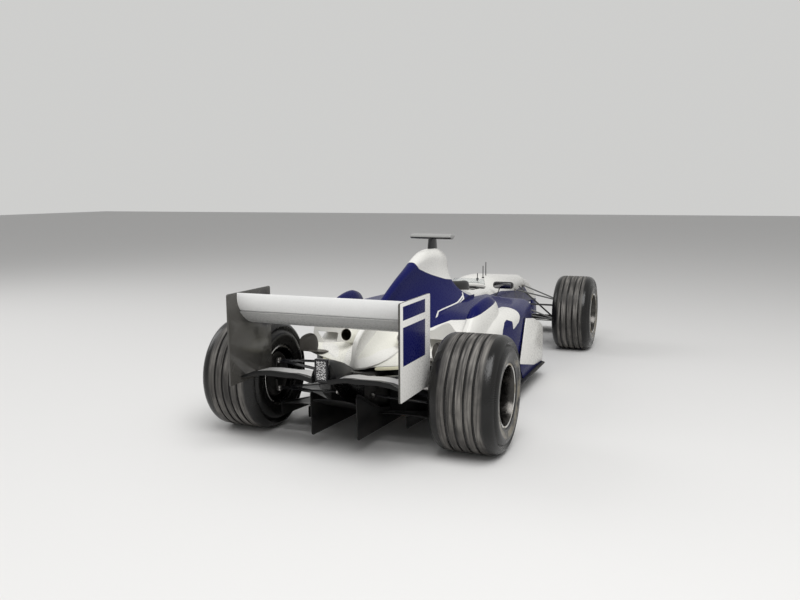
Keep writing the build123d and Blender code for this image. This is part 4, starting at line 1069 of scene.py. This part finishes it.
# Deck fences
# A rounded carbon fibre fence on a flat blade at each outer corner of the deck, just inside the rear tyre,
# bonded on.
fence_line = rounded([
    (0.508, 0.520), (0.470, 0.548), (0.425, 0.562), (0.388, 0.545), (0.374, 0.488), (0.388, 0.440),
    (0.508, 0.440)], 0.022, 4)
blade_line = rounded([(x, rear_axle_y - ahead) for x, ahead in (
    (0.300, 0.235), (0.470, 0.250), (0.430, 0.165), (0.330, 0.170))], 0.010, 3)
fences = []
for side in sides:
    fences.append(flat("fence", [(side * x, rear_axle_y - 0.200, z) for x, z in fence_line], (0, 0.004, 0)))
    fences.append(flat("blade", [(side * x, y, 0.446) for x, y in blade_line], (0, 0, 0.004)))
fences = join("deck_fences", fences)
soften(fences, 0.001, 30)
fences.data.materials.append(carbon("fence_carbon", 0.30, (0.060, 0.056, 0.050)))
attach(fences, "chassis")

# Floor
# The stepped flat floor: wide step planes in carbon fibre sheet, a lower middle plane whose splitter sticks
# out under the nose, and its stay. Dull black cloth, dusty from the track.
step_line = (
    (0.480, 1.950), (0.680, 1.930), (0.700, 1.900), (0.700, 0.520), (0.660, 0.440), (0.520, 0.420),
    (0.500, 0.390), (0.500, 0.330))


def slab(name, line, z, thickness, reach):
    """Level slab from its left edge in plan, given as x and the distance ahead of the rear axle."""
    outline = rounded(both_halves([(x, rear_axle_y - ahead) for x, ahead in line]), reach)
    return soften(flat(name, [(x, y, z) for x, y in outline], (0, 0, thickness)), 0.0015)


floor_body = join("car_floor", [
    slab("step_plane", step_line, 0.105, 0.006, 0.008),
    slab("reference_plane", ((0.250, 1.950), (0.250, 0.330)), 0.055, 0.050, 0.01),
    slab("splitter", ((0.185, 2.560), (0.250, 2.500), (0.250, 1.940)), 0.055, 0.012, 0.03),
    wrap("stay", [
        (rear_axle_y - ahead, both_halves([(half, low), (half, high)])) for ahead, half, low, high in (
            (2.50, 0.012, 0.064, 0.150), (2.42, 0.030, 0.064, 0.150), (1.95, 0.040, 0.064, 0.112))])])
soften(floor_body, 0)
dull_carbon, shader = surface("dull_carbon")
dust = noisy(shader, 11.0, (1, 0.4, 1), 6.0)
feed(shader, {
    "Specular IOR Level": 0.25,
    "Base Color": blended(ranged(dust, 0.45, 0.75), (0.007, 0.007, 0.0075), (0.026, 0.025, 0.023)),
    "Roughness": ranged(dust, 0.3, 0.7, 0.32, 0.55),
})
bumped(shader, noisy(shader, 220.0), 0.1, 0.0006)
floor_body.data.materials.append(dull_carbon)
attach(floor_body, "chassis")
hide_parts("floor")

# Skid board
# The laminated beech board under the floor, scraped along its length, with steel skid plugs let into it.
skid = [slab("board", ((0.150, 2.500), (0.150, 0.330)), 0.045, 0.010, 0.012)]
for ahead in (2.38, 1.40, 0.50):
    for x in (-0.09, 0.09):
        skid.append(cylinder("plug", 0.026, (x, rear_axle_y - ahead, 0.0465), 0.004))
        bpy.ops.object.transform_apply()
skid = join("skid", skid)
soften(skid, 0)
beech, shader = surface("skid_laminate")
scrape = noisy(shader, 22.0, (9, 0.3, 1), 6.0)
feed(shader, {
    "Base Color": blended(scrape, (0.16, 0.115, 0.075), (0.30, 0.23, 0.16)),
    "Roughness": ranged(scrape, 0.3, 0.7, 0.55, 0.75),
})
bumped(shader, scrape, 0.3, 0.001)
skid.data.materials.append(beech)
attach(skid, "chassis")
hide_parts("plank")

# Diffuser
# Rising tunnels behind the floor: curved carbon fibre roofs between thin upright fins with turned edges.
diffuser_front = -0.33           # behind the rear axle
uprights = (                     # name, outline ahead of the rear axle, its corners' reach, x, thickness
    ("fin", ((0.33, 0.056), (-0.340, 0.088), (-0.350, 0.340), (-0.30, 0.325), (-0.06, 0.205), (0.33, 0.111)),
     0.02, 0.140, 0.005),
    ("edge_fin", ((0.33, 0.066), (-0.060, 0.090), (-0.060, 0.178), (0.33, 0.115)), 0.012, 0.497, 0.005),
    ("fence", ((0.30, 0.070), (-0.055, 0.095), (-0.055, 0.165), (0.30, 0.108)), 0.012, 0.315, 0.004),
)


def roof(name, low_x, high_x, back, z_front, z_back, thickness=0.005):
    """Tunnel roof that rises to the back, its sides sinking a little."""
    rows = []
    for share in (number / 8 for number in range(9)):
        y = rear_axle_y + diffuser_front + (back - diffuser_front) * share
        z = z_front + (z_back - z_front) * share ** 1.15
        rows.append([
            (low_x + (high_x - low_x) * i / 6, y, z - 0.012 * (abs(i - 3) / 3) ** 3 * share) for i in range(7)])
    return sheet(name, rows, thickness)


diffuser_pieces = [roof("centre_roof", -0.139, 0.139, 0.350, 0.062, 0.303)]
for side in sides:
    diffuser_pieces.append(roof("side_roof", *sorted((side * 0.142, side * 0.497)), 0.060, 0.109, 0.175))
    for name, line, reach, x, thickness in uprights:
        outline = rounded(from_axle(line), reach)
        diffuser_pieces.append(plate(name, outline, side * x - thickness / 2, thickness, 0.001))
    diffuser_pieces.append(sheet("turned_edge", [
        [
            (side * (0.140 + out), rear_axle_y + back, z + rise)
            for out, rise in ((0, -0.004), (0.008, 0.0), (0.020, 0.003))]
        for back, z in ((0.060, 0.205), (0.200, 0.270), (0.300, 0.325), (0.350, 0.348))], 0.003))
diffuser = join("diffuser_tunnels", diffuser_pieces)
diffuser.data.materials.append(dull_carbon)
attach(diffuser, "chassis")
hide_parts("diffuser")

# Side vanes
# Tall boards on the floor's edge beside the pods, white with a deep navy foot, moulded in carbon fibre.
vane_line = rounded(from_axle((
    (1.370, 0.535), (1.335, 0.480), (1.210, 0.240), (1.225, 0.190), (1.300, 0.111), (1.920, 0.111),
    (1.940, 0.135), (1.940, 0.330), (1.930, 0.375), (1.900, 0.405), (1.800, 0.445),
    (1.600, 0.500))), 0.006, 2)
vane_foot = below(from_axle(((1.94, 0.118), (1.65, 0.140), (1.21, 0.235))))
vanes = join("side_boards", [plate("vane", vane_line, side * 0.667 - 0.004, 0.008, 0.002) for side in sides])
vanes.data.materials.append(paint("vane_paint", (0.82, 0.81, 0.77), navy, vane_foot))
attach(vanes, "chassis")
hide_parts("side_vanes")

# Bargeboards
# Curved boards between the front wheels and the pods, on short stays from the tub. Navy mouldings of 6 mm.
board_lines = (                  # ahead of the rear axle, x, low and high edge
    (2.680, 0.300, 0.120, 0.300), (2.620, 0.325, 0.112, 0.385), (2.560, 0.350, 0.110, 0.420),
    (2.420, 0.406, 0.110, 0.430), (2.280, 0.442, 0.110, 0.425), (2.150, 0.470, 0.112, 0.390))
board_pieces = []
for side in sides:
    board_pieces.append(sheet("board", [[
        (side * (x + 0.004 * math.sin(math.pi * i / 6)), rear_axle_y - ahead, low + (high - low) * i / 6)
        for i in range(7)] for ahead, x, low, high in board_lines], 0.006))
    for z in (0.254, 0.394):
        low = (side * 0.215, rear_axle_y - 2.420, z)
        board_pieces.append(block("stay", low, (side * 0.410, rear_axle_y - 2.385, z + 0.007), 0.0025))
boards = join("turning_boards", board_pieces)
boards.data.materials.append(paint("board_paint", navy))
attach(boards, "chassis")
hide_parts("bargeboards")

# Mirrors
# Two small mirrors: rounded black shells on thin stalks from the tub's shoulders, each with a dark glass set
# in its back.
mirror_pieces = []
for side in sides:
    rings = []
    for share, grow in ((0.0, 0.55), (0.04, 0.85), (0.12, 1.0), (0.88, 1.0), (0.96, 0.85), (1.0, 0.55)):
        ring = []
        for c, s in circle(24):
            depth = 0.0255 if c > 0 else 0.040
            bulge = math.copysign(abs(s) ** 0.8, s)
            y = rear_axle_y - 2.010 + depth * c * grow
            ring.append((side * (0.250 + 0.160 * share), y, 0.685 + 0.028 * bulge * grow))
        rings.append(ring)
    stalk = []
    for share in (0.0, 0.25, 0.5, 0.75, 1.0):
        x = side * (0.300 - 0.070 * share ** 2)
        z = 0.668 - 0.100 * share
        stalk.append([(x + 0.004 * c, rear_axle_y - 2.008 + 0.011 * s, z) for c, s in circle(16)])
    mirror_pieces += [loft("shell", rings), loft("stalk", stalk)]
mirrors = join("mirror_shells", mirror_pieces)
soften(mirrors, 0, 50)
mirrors.data.materials.append(black_lacquer)
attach(mirrors, "chassis")
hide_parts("mirrors")
glass = join("mirror_glass", [block(
    "glass", (side * 0.262, rear_axle_y - 1.986, 0.666), (side * 0.398, rear_axle_y - 1.982, 0.705), 0.0018)
    for side in sides])
soften(glass, 0)
silver, shader = surface("mirror_silver", metallic=1.0)
tone = blended(noisy(shader, 25.0), (0.20, 0.20, 0.21), (0.26, 0.26, 0.27))
feed(shader, {"Base Color": tone, "Roughness": 0.05})
glass.data.materials.append(silver)
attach(glass, "chassis")

# Windscreen
# Low clear screen round the front of the cockpit: bent acrylic, 3 mm thick, its edge polished.
screen_rows = []
for lift in (0.0, 0.5, 1.0):
    row = []
    for turn in (math.pi * number / 12 for number in range(13)):
        y = rear_axle_y - 2.153 - 0.043 * math.sin(turn) ** 0.7 + 0.006 * lift
        row.append((0.137 * math.cos(turn) * (1 - 0.04 * lift), y, 0.652 + 0.058 * lift))
    screen_rows.append(row)
screen = sheet("clear_screen", screen_rows, 0.003)
acrylic, shader = surface("acrylic")
feed(shader, {
    "Base Color": blended(noisy(shader, 30.0), (0.90, 0.92, 0.93), (0.84, 0.87, 0.88)),
    "Transmission Weight": 0.95, "IOR": 1.49, "Roughness": 0.04,
})
screen.data.materials.append(acrylic)
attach(screen, "chassis")
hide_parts("windscreen")

# Suspension
# Upper and lower arms and pushrods at the front, arms at the rear: flattened streamlined legs in lacquered
# carbon fibre with steel ends, bolted to the tub and the gearbox.
kingpin_x = 0.600
steel = grained("brushed_steel", 1.0, (0.30, 0.29, 0.28), (0.50, 0.49, 0.47), (40.0,), (70.0, 0.22, 0.38))


def leg(name, start, end, chord, thickness, ends=0.7):
    """Streamlined suspension leg: blunt ahead, sharp behind, slimmer towards both ends."""
    start = Vector(start)
    end = Vector(end)
    run = (end - start).normalized()
    wide = (Vector((0, 1, 0)) - run * run.y).normalized()
    thick = run.cross(wide)
    rings = []
    for share in (0.0, 0.05, 0.12, 0.22, 0.5, 0.78, 0.88, 0.95, 1.0):
        size = ends + (1 - ends) * min(1.0, 6 * min(share, 1 - share))
        middle = start + (end - start) * share
        ring = []
        for c, s in circle(20):
            across = s * thickness / 2 * (1.15 - 0.35 * (1 - c))
            ring.append(tuple(middle + (thick * across - wide * c * chord / 2) * size))
        rings.append(ring)
    return loft(name, rings)


def drum(name, radius, centre, length, axis="Z", vertices=24):
    """Round boss or bar with softened rims."""
    piece = cylinder(name, radius, centre, length, axis, vertices)
    bpy.ops.object.transform_apply()
    return soften(piece, min(radius, length) * 0.12)


legs = []
steel_ends = []
for side in sides:
    for rise, inner_z, ahead, behind in ((0.095, 0.560, 0.190, 0.210), (-0.095, 0.345, 0.210, 0.190)):
        tip = Vector((side * 0.588, front_axle_y, tyre_radius + rise))
        for reach in (-ahead, behind):
            root = Vector((side * 0.200, front_axle_y, inner_z))
            root.y += reach * 0.85
            root.z = tip.z + (inner_z - tip.z) * 0.83
            legs.append(leg("front_leg", root, tip, 0.044, 0.013))
            half = Vector((0.012, 0.024, 0.014))
            steel_ends.append(block("foot", root - half, root + half, 0.005))
        eye = Vector((side * kingpin_x, front_axle_y, tip.z))
        steel_ends.append(drum("eye", 0.0185, eye, 0.020, vertices=40))
        bore = lathe("bore", ((-0.03, 0.001), (-0.03, 0.0092), (0.03, 0.0092), (0.03, 0.001)), steps=32)
        bore.data.transform(Matrix.Translation(eye) @ Matrix.Rotation(math.pi / 2, 4, "Y"))
        cut(steel_ends[-1], bore)
    pushrod_ends = ((side * 0.195, front_axle_y, 0.545), (side * 0.552, front_axle_y, 0.246))
    legs.append(leg("pushrod", *pushrod_ends, 0.026, 0.017, 0.8))
    steel_ends.append(drum("fork", 0.013, (side * 0.552, front_axle_y, 0.244), 0.024, "Y"))
front_arms = join("front_arms", legs)
soften(front_arms, 0, 50)
front_arms.data.materials.append(black_lacquer)
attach(front_arms, "chassis")
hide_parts("front_wishbones")
front_joints = join("front_joints", steel_ends)
front_joints.data.materials.append(steel)
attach(front_joints, "chassis")

legs = []
steel_ends = []
for side in sides:
    for rise, inner_z in ((0.088, 0.370), (-0.088, 0.275)):
        tip = Vector((side * 0.552, rear_axle_y, tyre_radius + rise))
        for reach in (-0.300, 0.060):
            root = Vector((side * 0.060, rear_axle_y + reach, inner_z))
            legs.append(leg("rear_leg", root + (tip - root) * 0.12, tip, 0.044, 0.015))
        steel_ends.append(drum("joint", 0.014, root + (tip - root) * 0.10, 0.030, "Y"))
        steel_ends.append(drum("joint", 0.016, tip + Vector((-side * 0.006, 0, 0)), 0.030))
rear_arms = join("rear_arms", legs)
soften(rear_arms, 0, 50)
rear_arms.data.materials.append(black_lacquer)
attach(rear_arms, "chassis")
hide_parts("rear_wishbones")
rear_joints = join("rear_joints", steel_ends)
rear_joints.data.materials.append(steel)
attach(rear_joints, "chassis")

# Uprights
# Machined magnesium uprights inside black carbon fibre brake drums, with the disc's edge in the drum's mouth.
# The front ones turn on their kingpins with a steering arm behind the axle.
dark_cast = grained(
    "dark_cast", 0.7, (0.035, 0.034, 0.033), (0.075, 0.072, 0.068), (35.0,), (60.0, 0.34, 0.52),
    ((240.0,), 0.2, 0.0008))
drum_profile = (
    (0.000, 0.070), (0.008, 0.085), (0.008, 0.112), (0.000, 0.124), (0.002, 0.134), (0.010, 0.138),
    (0.052, 0.138), (0.060, 0.134), (0.060, 0.128), (0.040, 0.124), (0.040, 0.118), (0.056, 0.116),
    (0.056, 0.062), (0.048, 0.055), (0.060, 0.050))
arm_y = front_axle_y + 0.080
arm_top = tyre_radius + 0.050
near_x = 0.623


def brake_drum(side, x_near, axle_y, bore):
    """Hollow drum with a stepped back, round the axle."""
    profile = ((0.000, bore), *drum_profile, (0.060, bore))
    return lathe("brake_drum", profile, (side * x_near, axle_y, tyre_radius), side, 72)


def box(name, side, x_ends, y_ends, z_ends, edge):
    """Block on one side of the car between two ends in each direction."""
    low, high = zip([side * x for x in x_ends], y_ends, z_ends)
    return block(name, low, high, edge)


def scoop(side, x_ends, axle_y):
    """Air scoop on the front of a brake drum."""
    ends = ((axle_y - 0.165, axle_y - 0.11), (tyre_radius - 0.035, tyre_radius + 0.035))
    return box("scoop", side, x_ends, *ends, 0.010)


for side, hand in hands:
    spindle = ((0.0, 0.001), (0.0, 0.030), (0.135, 0.030), (0.1465, 0.0285), (0.1465, 0.001))
    parts = [
        brake_drum(side, near_x, front_axle_y, 0.030),
        lathe("spindle", spindle, (side * near_x, front_axle_y, tyre_radius), side, 40)]
    for turn in sides:
        lug_z = (tyre_radius + turn * 0.062, tyre_radius + turn * 0.084)
        lug_y = (front_axle_y - 0.014, front_axle_y + 0.014)
        parts.append(box("lug", side, (kingpin_x - 0.014, near_x + 0.005), lug_y, lug_z, 0.004))
        pin_place = (side * kingpin_x, front_axle_y, tyre_radius + turn * 0.0855)
        parts.append(drum("kingpin", 0.009, pin_place, 0.047))
    arm = box(
        "steering_arm", side, (kingpin_x - 0.020, near_x + 0.005), (arm_y - 0.020, arm_y + 0.020),
        (arm_top - 0.012, arm_top), 0.003)
    cut(arm, drum("hole", 0.011, (side * kingpin_x, arm_y, arm_top), 0.06, vertices=32))
    parts += [arm, scoop(side, (near_x + 0.012, near_x + 0.050), front_axle_y)]
    upright = join("upright_" + hand, parts)
    soften(upright, 0)
    upright.data.materials.append(dark_cast)
    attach(upright, "knuckle_" + hand)
    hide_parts("upright_front_" + hand)
rear_drums = []
for side in sides:
    rear_drums += [brake_drum(side, 0.560, rear_axle_y, shaft_bore), scoop(side, (0.575, 0.612), rear_axle_y)]
    for web_z in ((0.236, 0.298), (0.362, 0.424)):
        web_y = (rear_axle_y - 0.020, rear_axle_y + 0.020)
        rear_drums.append(box("web", side, (0.548, 0.562), web_y, web_z, 0.004))
rear_drums = join("rear_hubs", rear_drums)
soften(rear_drums, 0)
rear_drums.data.materials.append(dark_cast)
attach(rear_drums, "chassis")
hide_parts("rear_uprights")

# Driveshafts
# Turned steel shafts from the gearbox to the rear wheels, with rubber gaiters over their joints.
shaft_profile = (
    (0.063, 0.001), (0.063, 0.024), (0.078, 0.0248), (0.120, 0.0248), (0.128, 0.0240), (0.136, 0.0248),
    (0.144, 0.0238), (0.152, 0.0246), (0.160, 0.0232), (0.168, 0.0225), (0.176, 0.0165), (0.440, 0.0165),
    (0.448, 0.0225), (0.456, 0.0232), (0.464, 0.0246), (0.472, 0.0238), (0.480, 0.0248), (0.560, 0.0248),
    (0.750, 0.0248), (0.750, 0.001))
for side, hand in hands:
    shaft = lathe("shaft_" + hand, shaft_profile, (0, rear_axle_y, tyre_radius), side, 48)
    soften(shaft, 0)
    shaft_metal, shader = surface("shaft_metal_" + hand, metallic=1.0)
    x, y, z = coordinates(shader)
    across = maths("ABSOLUTE", x, 0.0)
    bare = maths("MULTIPLY", ranged(across, 0.174, 0.176), ranged(across, 0.442, 0.440))
    streak = noisy(shader, 30.0, (6, 1, 1))
    bright = blended(streak, (0.34, 0.33, 0.32), (0.52, 0.51, 0.49))
    feed(shader, {
        "Base Color": blended(bare, (0.02, 0.02, 0.02), bright),
        "Metallic": bare,
        "Roughness": ranged(streak, 0.3, 0.7, 0.24, 0.42),
    })
    shaft.data.materials.append(shaft_metal)
    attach(shaft, "wheel_rear_" + hand)
    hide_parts("driveshaft_" + hand)

# Track rods
# Rack and track rods, one slim bar across the tub, with a pin at each end that drops into the steering arm.
rod_z = tyre_radius + 0.066
bar_half = ((0.588, 0.001), (0.588, 0.0075), (0.560, 0.008))
rod_pieces = [lathe(
    "bar", [(-x, radius) for x, radius in bar_half] + list(bar_half[::-1]), (0, arm_y, rod_z), 1, 32)]
for side in sides:
    rod_pieces += [
        leg("fairing", (side * 0.235, arm_y, rod_z), (side * 0.575, arm_y, rod_z), 0.034, 0.0155, 0.6),
        box(
            "rod_end", side, (0.588, 0.612), (arm_y - 0.012, arm_y + 0.012), (rod_z - 0.012, rod_z + 0.012),
            0.004),
        drum("pin", 0.006, (side * kingpin_x, arm_y, rod_z - 0.029), 0.034)]
rods = join("steering_rods", rod_pieces)
soften(rods, 0, 50)
rods.data.materials.append(black_lacquer)
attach(rods, "rack")
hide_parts("track_rods")

# Rear wing
# Main plane and steep flap between two tall end plates, moulded in carbon fibre. The main plane is painted
# grey as the shade on its white underside, and the flap white. The plates are white outside with two plain navy
# panels each, and bare cloth inside.
plate_front = rear_axle_y + 0.170
wing_back = rear_axle_y + 0.597
rear_wing_half = 0.488
main_plane = wing_plane("main_plane", rear_wing_half, rear_axle_y + 0.182, 0.775, 3, 0.306, 0.026, 0.066)
soften(main_plane, 0)
# Painted shade: the main plane is grey in place of white seen from below in shade.
main_plane.data.materials.append(paint("grey_plane_painted_shade", (0.46, 0.46, 0.45)))
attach(main_plane, "chassis")
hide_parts("rear_wing_main")
flap = wing_plane("flap", rear_wing_half, rear_axle_y + 0.470, 0.790, 70, 0.113, 0.016, 0.012)
soften(flap, 0)
flap.data.materials.append(paint("flap_paint", (0.87, 0.87, 0.86)))
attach(flap, "chassis")
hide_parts("rear_wing_flap")
plate_outline = rounded(
    [(plate_front, 0.396), (wing_back, 0.396), (wing_back, 0.897), (plate_front, 0.897)], 0.012, 3)


def plate_colours(shader):
    """Mask of the two plain navy panels on the outer faces."""
    x, y, z = coordinates(shader)
    panels = []
    for z_low, z_high in ((0.807, 0.877), (0.577, 0.772)):
        panels.append(maths(
            "MULTIPLY", maths("GREATER_THAN", y, plate_front + 0.078), maths("LESS_THAN", y, wing_back - 0.036),
            maths("GREATER_THAN", z, z_low), maths("LESS_THAN", z, z_high)))
    outer = maths("GREATER_THAN", maths("ABSOLUTE", x, 0.0), 0.4985)
    return maths("MULTIPLY", maths("MAXIMUM", *panels), outer)


rear_plates = join("rear_plates", [
    plate("rear_plate", plate_outline, side * 0.494 - 0.006, 0.012) for side in sides])
rear_plates.data.materials.append(paint("rear_plate_paint", (0.84, 0.83, 0.80), navy, plate_colours))
rear_plates.data.materials.append(carbon("plate_lining", 0.12, (0.050, 0.048, 0.044)))
for face in rear_plates.data.polygons:
    face.material_index = 1 if abs(face.center.x) < 0.4895 or abs(face.normal.x) < 0.9 else 0
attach(rear_plates, "chassis")
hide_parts("rear_endplates")

# Beam wing
# The lower wing that ties the end plates to the crash structure: one dark carbon fibre plane that waves in
# span, with a painted highlight along its upper face and a blunt dark back edge.
beam_line = (                    # x and rise
    (0.488, -0.022), (0.46, -0.015), (0.40, -0.001), (0.33, 0.006), (0.27, 0.005), (0.21, 0.003),
    (0.16, 0.006), (0.11, 0.000), (0.06, -0.012), (0.047, -0.013))
beam_section = (                 # from the nose over the top, down the blunt back and home below
    (0.000, 0.000), (0.004, 0.006), (0.014, 0.010), (0.040, 0.011), (0.080, 0.011), (0.120, 0.014),
    (0.150, 0.019), (0.169, 0.0245), (0.170, 0.023), (0.170, 0.001), (0.168, -0.002), (0.140, -0.006),
    (0.090, -0.009), (0.045, -0.010), (0.015, -0.007), (0.004, -0.004))
beam_halves = []
for side in sides:
    rings = []
    for x, rise in beam_line:
        depth = min(1, 0.3 + 9 * (rear_wing_half - x))
        rings.append([
            (side * x, rear_axle_y + 0.330 + back, 0.446 + rise + depth * up) for back, up in beam_section])
    beam_halves.append(loft("half_beam", rings))
beam = join("beam", beam_halves)
soften(beam, 0)
beam_with_highlight, shader = surface("beam_painted_highlight", metallic=0.8)
x, y, z = coordinates(shader)
# Painted highlight: near-white on the faces that look up, short of the back edge.
bright = maths(
    "MULTIPLY", ranged(facing_up(shader), 0.45, 0.75), ranged(y, rear_axle_y + 0.443, rear_axle_y + 0.436))
feed(shader, {
    "Base Color": blended(bright, (0.022, 0.022, 0.022), (0.86, 0.85, 0.84)),
    "Roughness": ranged(noisy(shader, 12.0, (0.3, 3, 3)), 0.3, 0.7, 0.34, 0.48),
})
beam.data.materials.append(beam_with_highlight)
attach(beam, "chassis")
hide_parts("beam_wing")

# Crash structure's hood
# Matt carbon fibre moulding that covers the joint of beam wing and crash structure, ahead of the light.
hood_half = ((0.080, 0.0), (0.074, 0.018), (0.060, 0.042), (0.045, 0.061), (0.029, 0.072), (0.012, 0.076))
hood = wrap("crash_hood", [
    (rear_axle_y + back, both_halves([(x * wide, low + z * tall) for x, z in hood_half]))
    for back, wide, low, tall in (
        (0.150, 0.50, 0.425, 0.35), (0.250, 0.80, 0.436, 0.82), (0.350, 0.95, 0.444, 1.15),
        (0.453, 0.95, 0.450, 1.24))])
soften(hood, 0.002, 40)
hood.data.materials.append(dull_carbon)
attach(hood, "chassis")

# Rain light
# The lamp on the end of the crash structure: a clear plastic lens over small grey cells, in a black box.
light_box = block(
    "rain_light", (-0.0385, rear_axle_y + 0.455, 0.439), (0.0385, rear_axle_y + 0.485, 0.561), 0.005)
bpy.ops.object.mode_set(mode="EDIT")
bpy.ops.mesh.select_mode(type="FACE")
bpy.ops.mesh.select_all(action="DESELECT")
bpy.ops.object.mode_set(mode="OBJECT")
for face in light_box.data.polygons:
    face.select = face.normal.y > 0.95 and face.area > 0.003
bpy.ops.object.mode_set(mode="EDIT")
bpy.ops.mesh.inset(thickness=0.004)
bpy.ops.mesh.inset(thickness=0.002, depth=-0.004)
bpy.ops.object.mode_set(mode="OBJECT")
lens, shader = surface("lens", coat=0.8)
place = node_by(shader, "TexCoord", {}).outputs["Object"]
cells = node_by(shader, "TexVoronoi", {"Scale": 170, "Vector": place}).outputs["Distance"]
feed(shader, {
    "Base Color": blended(ranged(cells, 0.30, 0.52), (0.80, 0.79, 0.79), (0.008, 0.008, 0.008)),
    "Roughness": 0.15,
})
bumped(shader, cells, 0.5, 0.002)
light_box.data.materials.append(black_lacquer)
light_box.data.materials.append(lens)
for face in light_box.data.polygons:
    face.material_index = 1 if face.select else 0
soften(light_box, 0)
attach(light_box, "chassis")
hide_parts("rear_light")

# Cockpit
# A thin moulded seat shell in the tub, and a padded collar round the back of the head in stitched foam-filled
# cloth. Black throughout.
seat_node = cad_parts["seat"]
seat_node.data.materials.clear()
seat_node.data.materials.append(dull_carbon)
seat_edges = seat_node.modifiers.new("edges", "BEVEL")
seat_edges.width = 0.012
seat_edges.segments = 4
seat_edges.limit_method = "ANGLE"

collar_path = []
for turn in (math.pi * number / 24 for number in range(25)):
    y = rear_axle_y - 1.600 + 0.150 * max(0.0, math.sin(turn)) ** 0.6
    collar_path.append(Vector((0.155 * math.cos(turn), y, 0.705)))
collar_rings = []
for number, place in enumerate(collar_path):
    run = (collar_path[min(number + 1, 24)] - collar_path[max(number - 1, 0)]).normalized()
    across = run.cross(Vector((0, 0, 1)))
    swell = 0.6 if number in (0, 24) else 1.0
    ring = []
    for c, s in circle(20):
        c, s = (math.copysign(abs(part) ** 0.7, part) * swell for part in (c, s))
        ring.append(tuple(place + across * 0.036 * c + Vector((0, 0, 0.064 * s))))
    collar_rings.append(ring)
collar = loft("head_collar", collar_rings)
modified(collar, "SUBSURF", levels=1, render_levels=1)
soften(collar, 0, 60)
cloth, shader = surface("pad_cloth")
weave = noisy(shader, 350.0)
feed(shader, {
    "Base Color": blended(weave, (0.010, 0.010, 0.011), (0.030, 0.029, 0.028)), "Roughness": 0.8,
    "Sheen Weight": 0.25})
bumped(shader, weave, 0.35, 0.0012)
collar.data.materials.append(cloth)
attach(collar, "chassis")
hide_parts("headrest")

# Steering wheel
# Flat topped racing wheel on its column: a carbon fibre plate with rubber grips, a display and plain buttons.
wheel_hub = Vector((0, rear_axle_y - 2.070, 0.588))
column_slope = 0.22
column_turn = Vector((0, -1, -column_slope)).normalized().to_track_quat("X", "Z").to_matrix().to_4x4()
grip_line = rounded([
    (0.130, -0.035), (0.130, 0.035), (0.090, 0.075), (-0.090, 0.075), (-0.130, 0.035), (-0.130, -0.035),
    (-0.090, -0.075), (0.090, -0.075)], 0.02, 3)
rings = []
for x, z in grip_line:
    inner = 1 - 0.026 / max(math.hypot(x, z), 0.01)
    ring = []
    for c, s in circle(12):
        size = (1 + inner) / 2 * (1 + (1 - inner) / 2 * c)
        ring.append((x * size, -0.013 + 0.0125 * s, z * size))
    rings.append(ring + ring[:1])
wheel_parts = [
    edited(grid("grip", rings + rings[:1]), (bpy.ops.mesh.remove_doubles, {"threshold": weld})),
    block("hub_plate", (-0.100, -0.024, -0.050), (0.100, -0.006, 0.050), 0.006),
    block("display", (-0.040, -0.008, 0.010), (0.040, -0.003, 0.042), 0.002)]
for x in (-0.080, -0.062, 0.062, 0.080):
    for z in (-0.030, 0.0, 0.030):
        wheel_parts.append(drum("button", 0.006, (x, -0.004, z), 0.010, "Y", 20))
for part in wheel_parts:
    part.data.transform(Matrix.Translation(wheel_hub) @ Matrix.Rotation(math.atan(column_slope), 4, "X"))
column = lathe("column", ((0.020, 0.001), (0.020, 0.0138), (0.200, 0.0138), (0.200, 0.001)), steps=32)
column.data.transform(Matrix.Translation(wheel_hub) @ column_turn)
steering = join("hand_wheel", wheel_parts + [column])
soften(steering, 0, 50)
grip_rubber, shader = surface("grip_rubber")
grain = noisy(shader, 300.0)
feed(shader, {
    "Base Color": blended(grain, (0.012, 0.012, 0.012), (0.035, 0.034, 0.033)),
    "Roughness": ranged(grain, 0.3, 0.7, 0.45, 0.65),
})
bumped(shader, grain, 0.3, 0.001)
steering.data.materials.append(grip_rubber)
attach(steering, "steering_wheel")
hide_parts("steering_wheel")

# Masts
# Three thin black masts on the tub ahead of the screen, each screwed into a small round foot.
mast_foot_z = 0.66
masts = []
for x, ahead, top in ((-0.050, 2.230, 0.750), (-0.075, 2.310, 0.805), (-0.075, 2.395, 0.830)):
    y = rear_axle_y - ahead
    masts.append(drum("mast", 0.0035, (x, y, (mast_foot_z + top) / 2), top - mast_foot_z, vertices=16))
    masts.append(drum("mast_foot", 0.010, (x, y, 0.702), 0.016))
masts = join("masts", masts)
masts.data.materials.append(black_lacquer)
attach(masts, "chassis")
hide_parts("antennas")
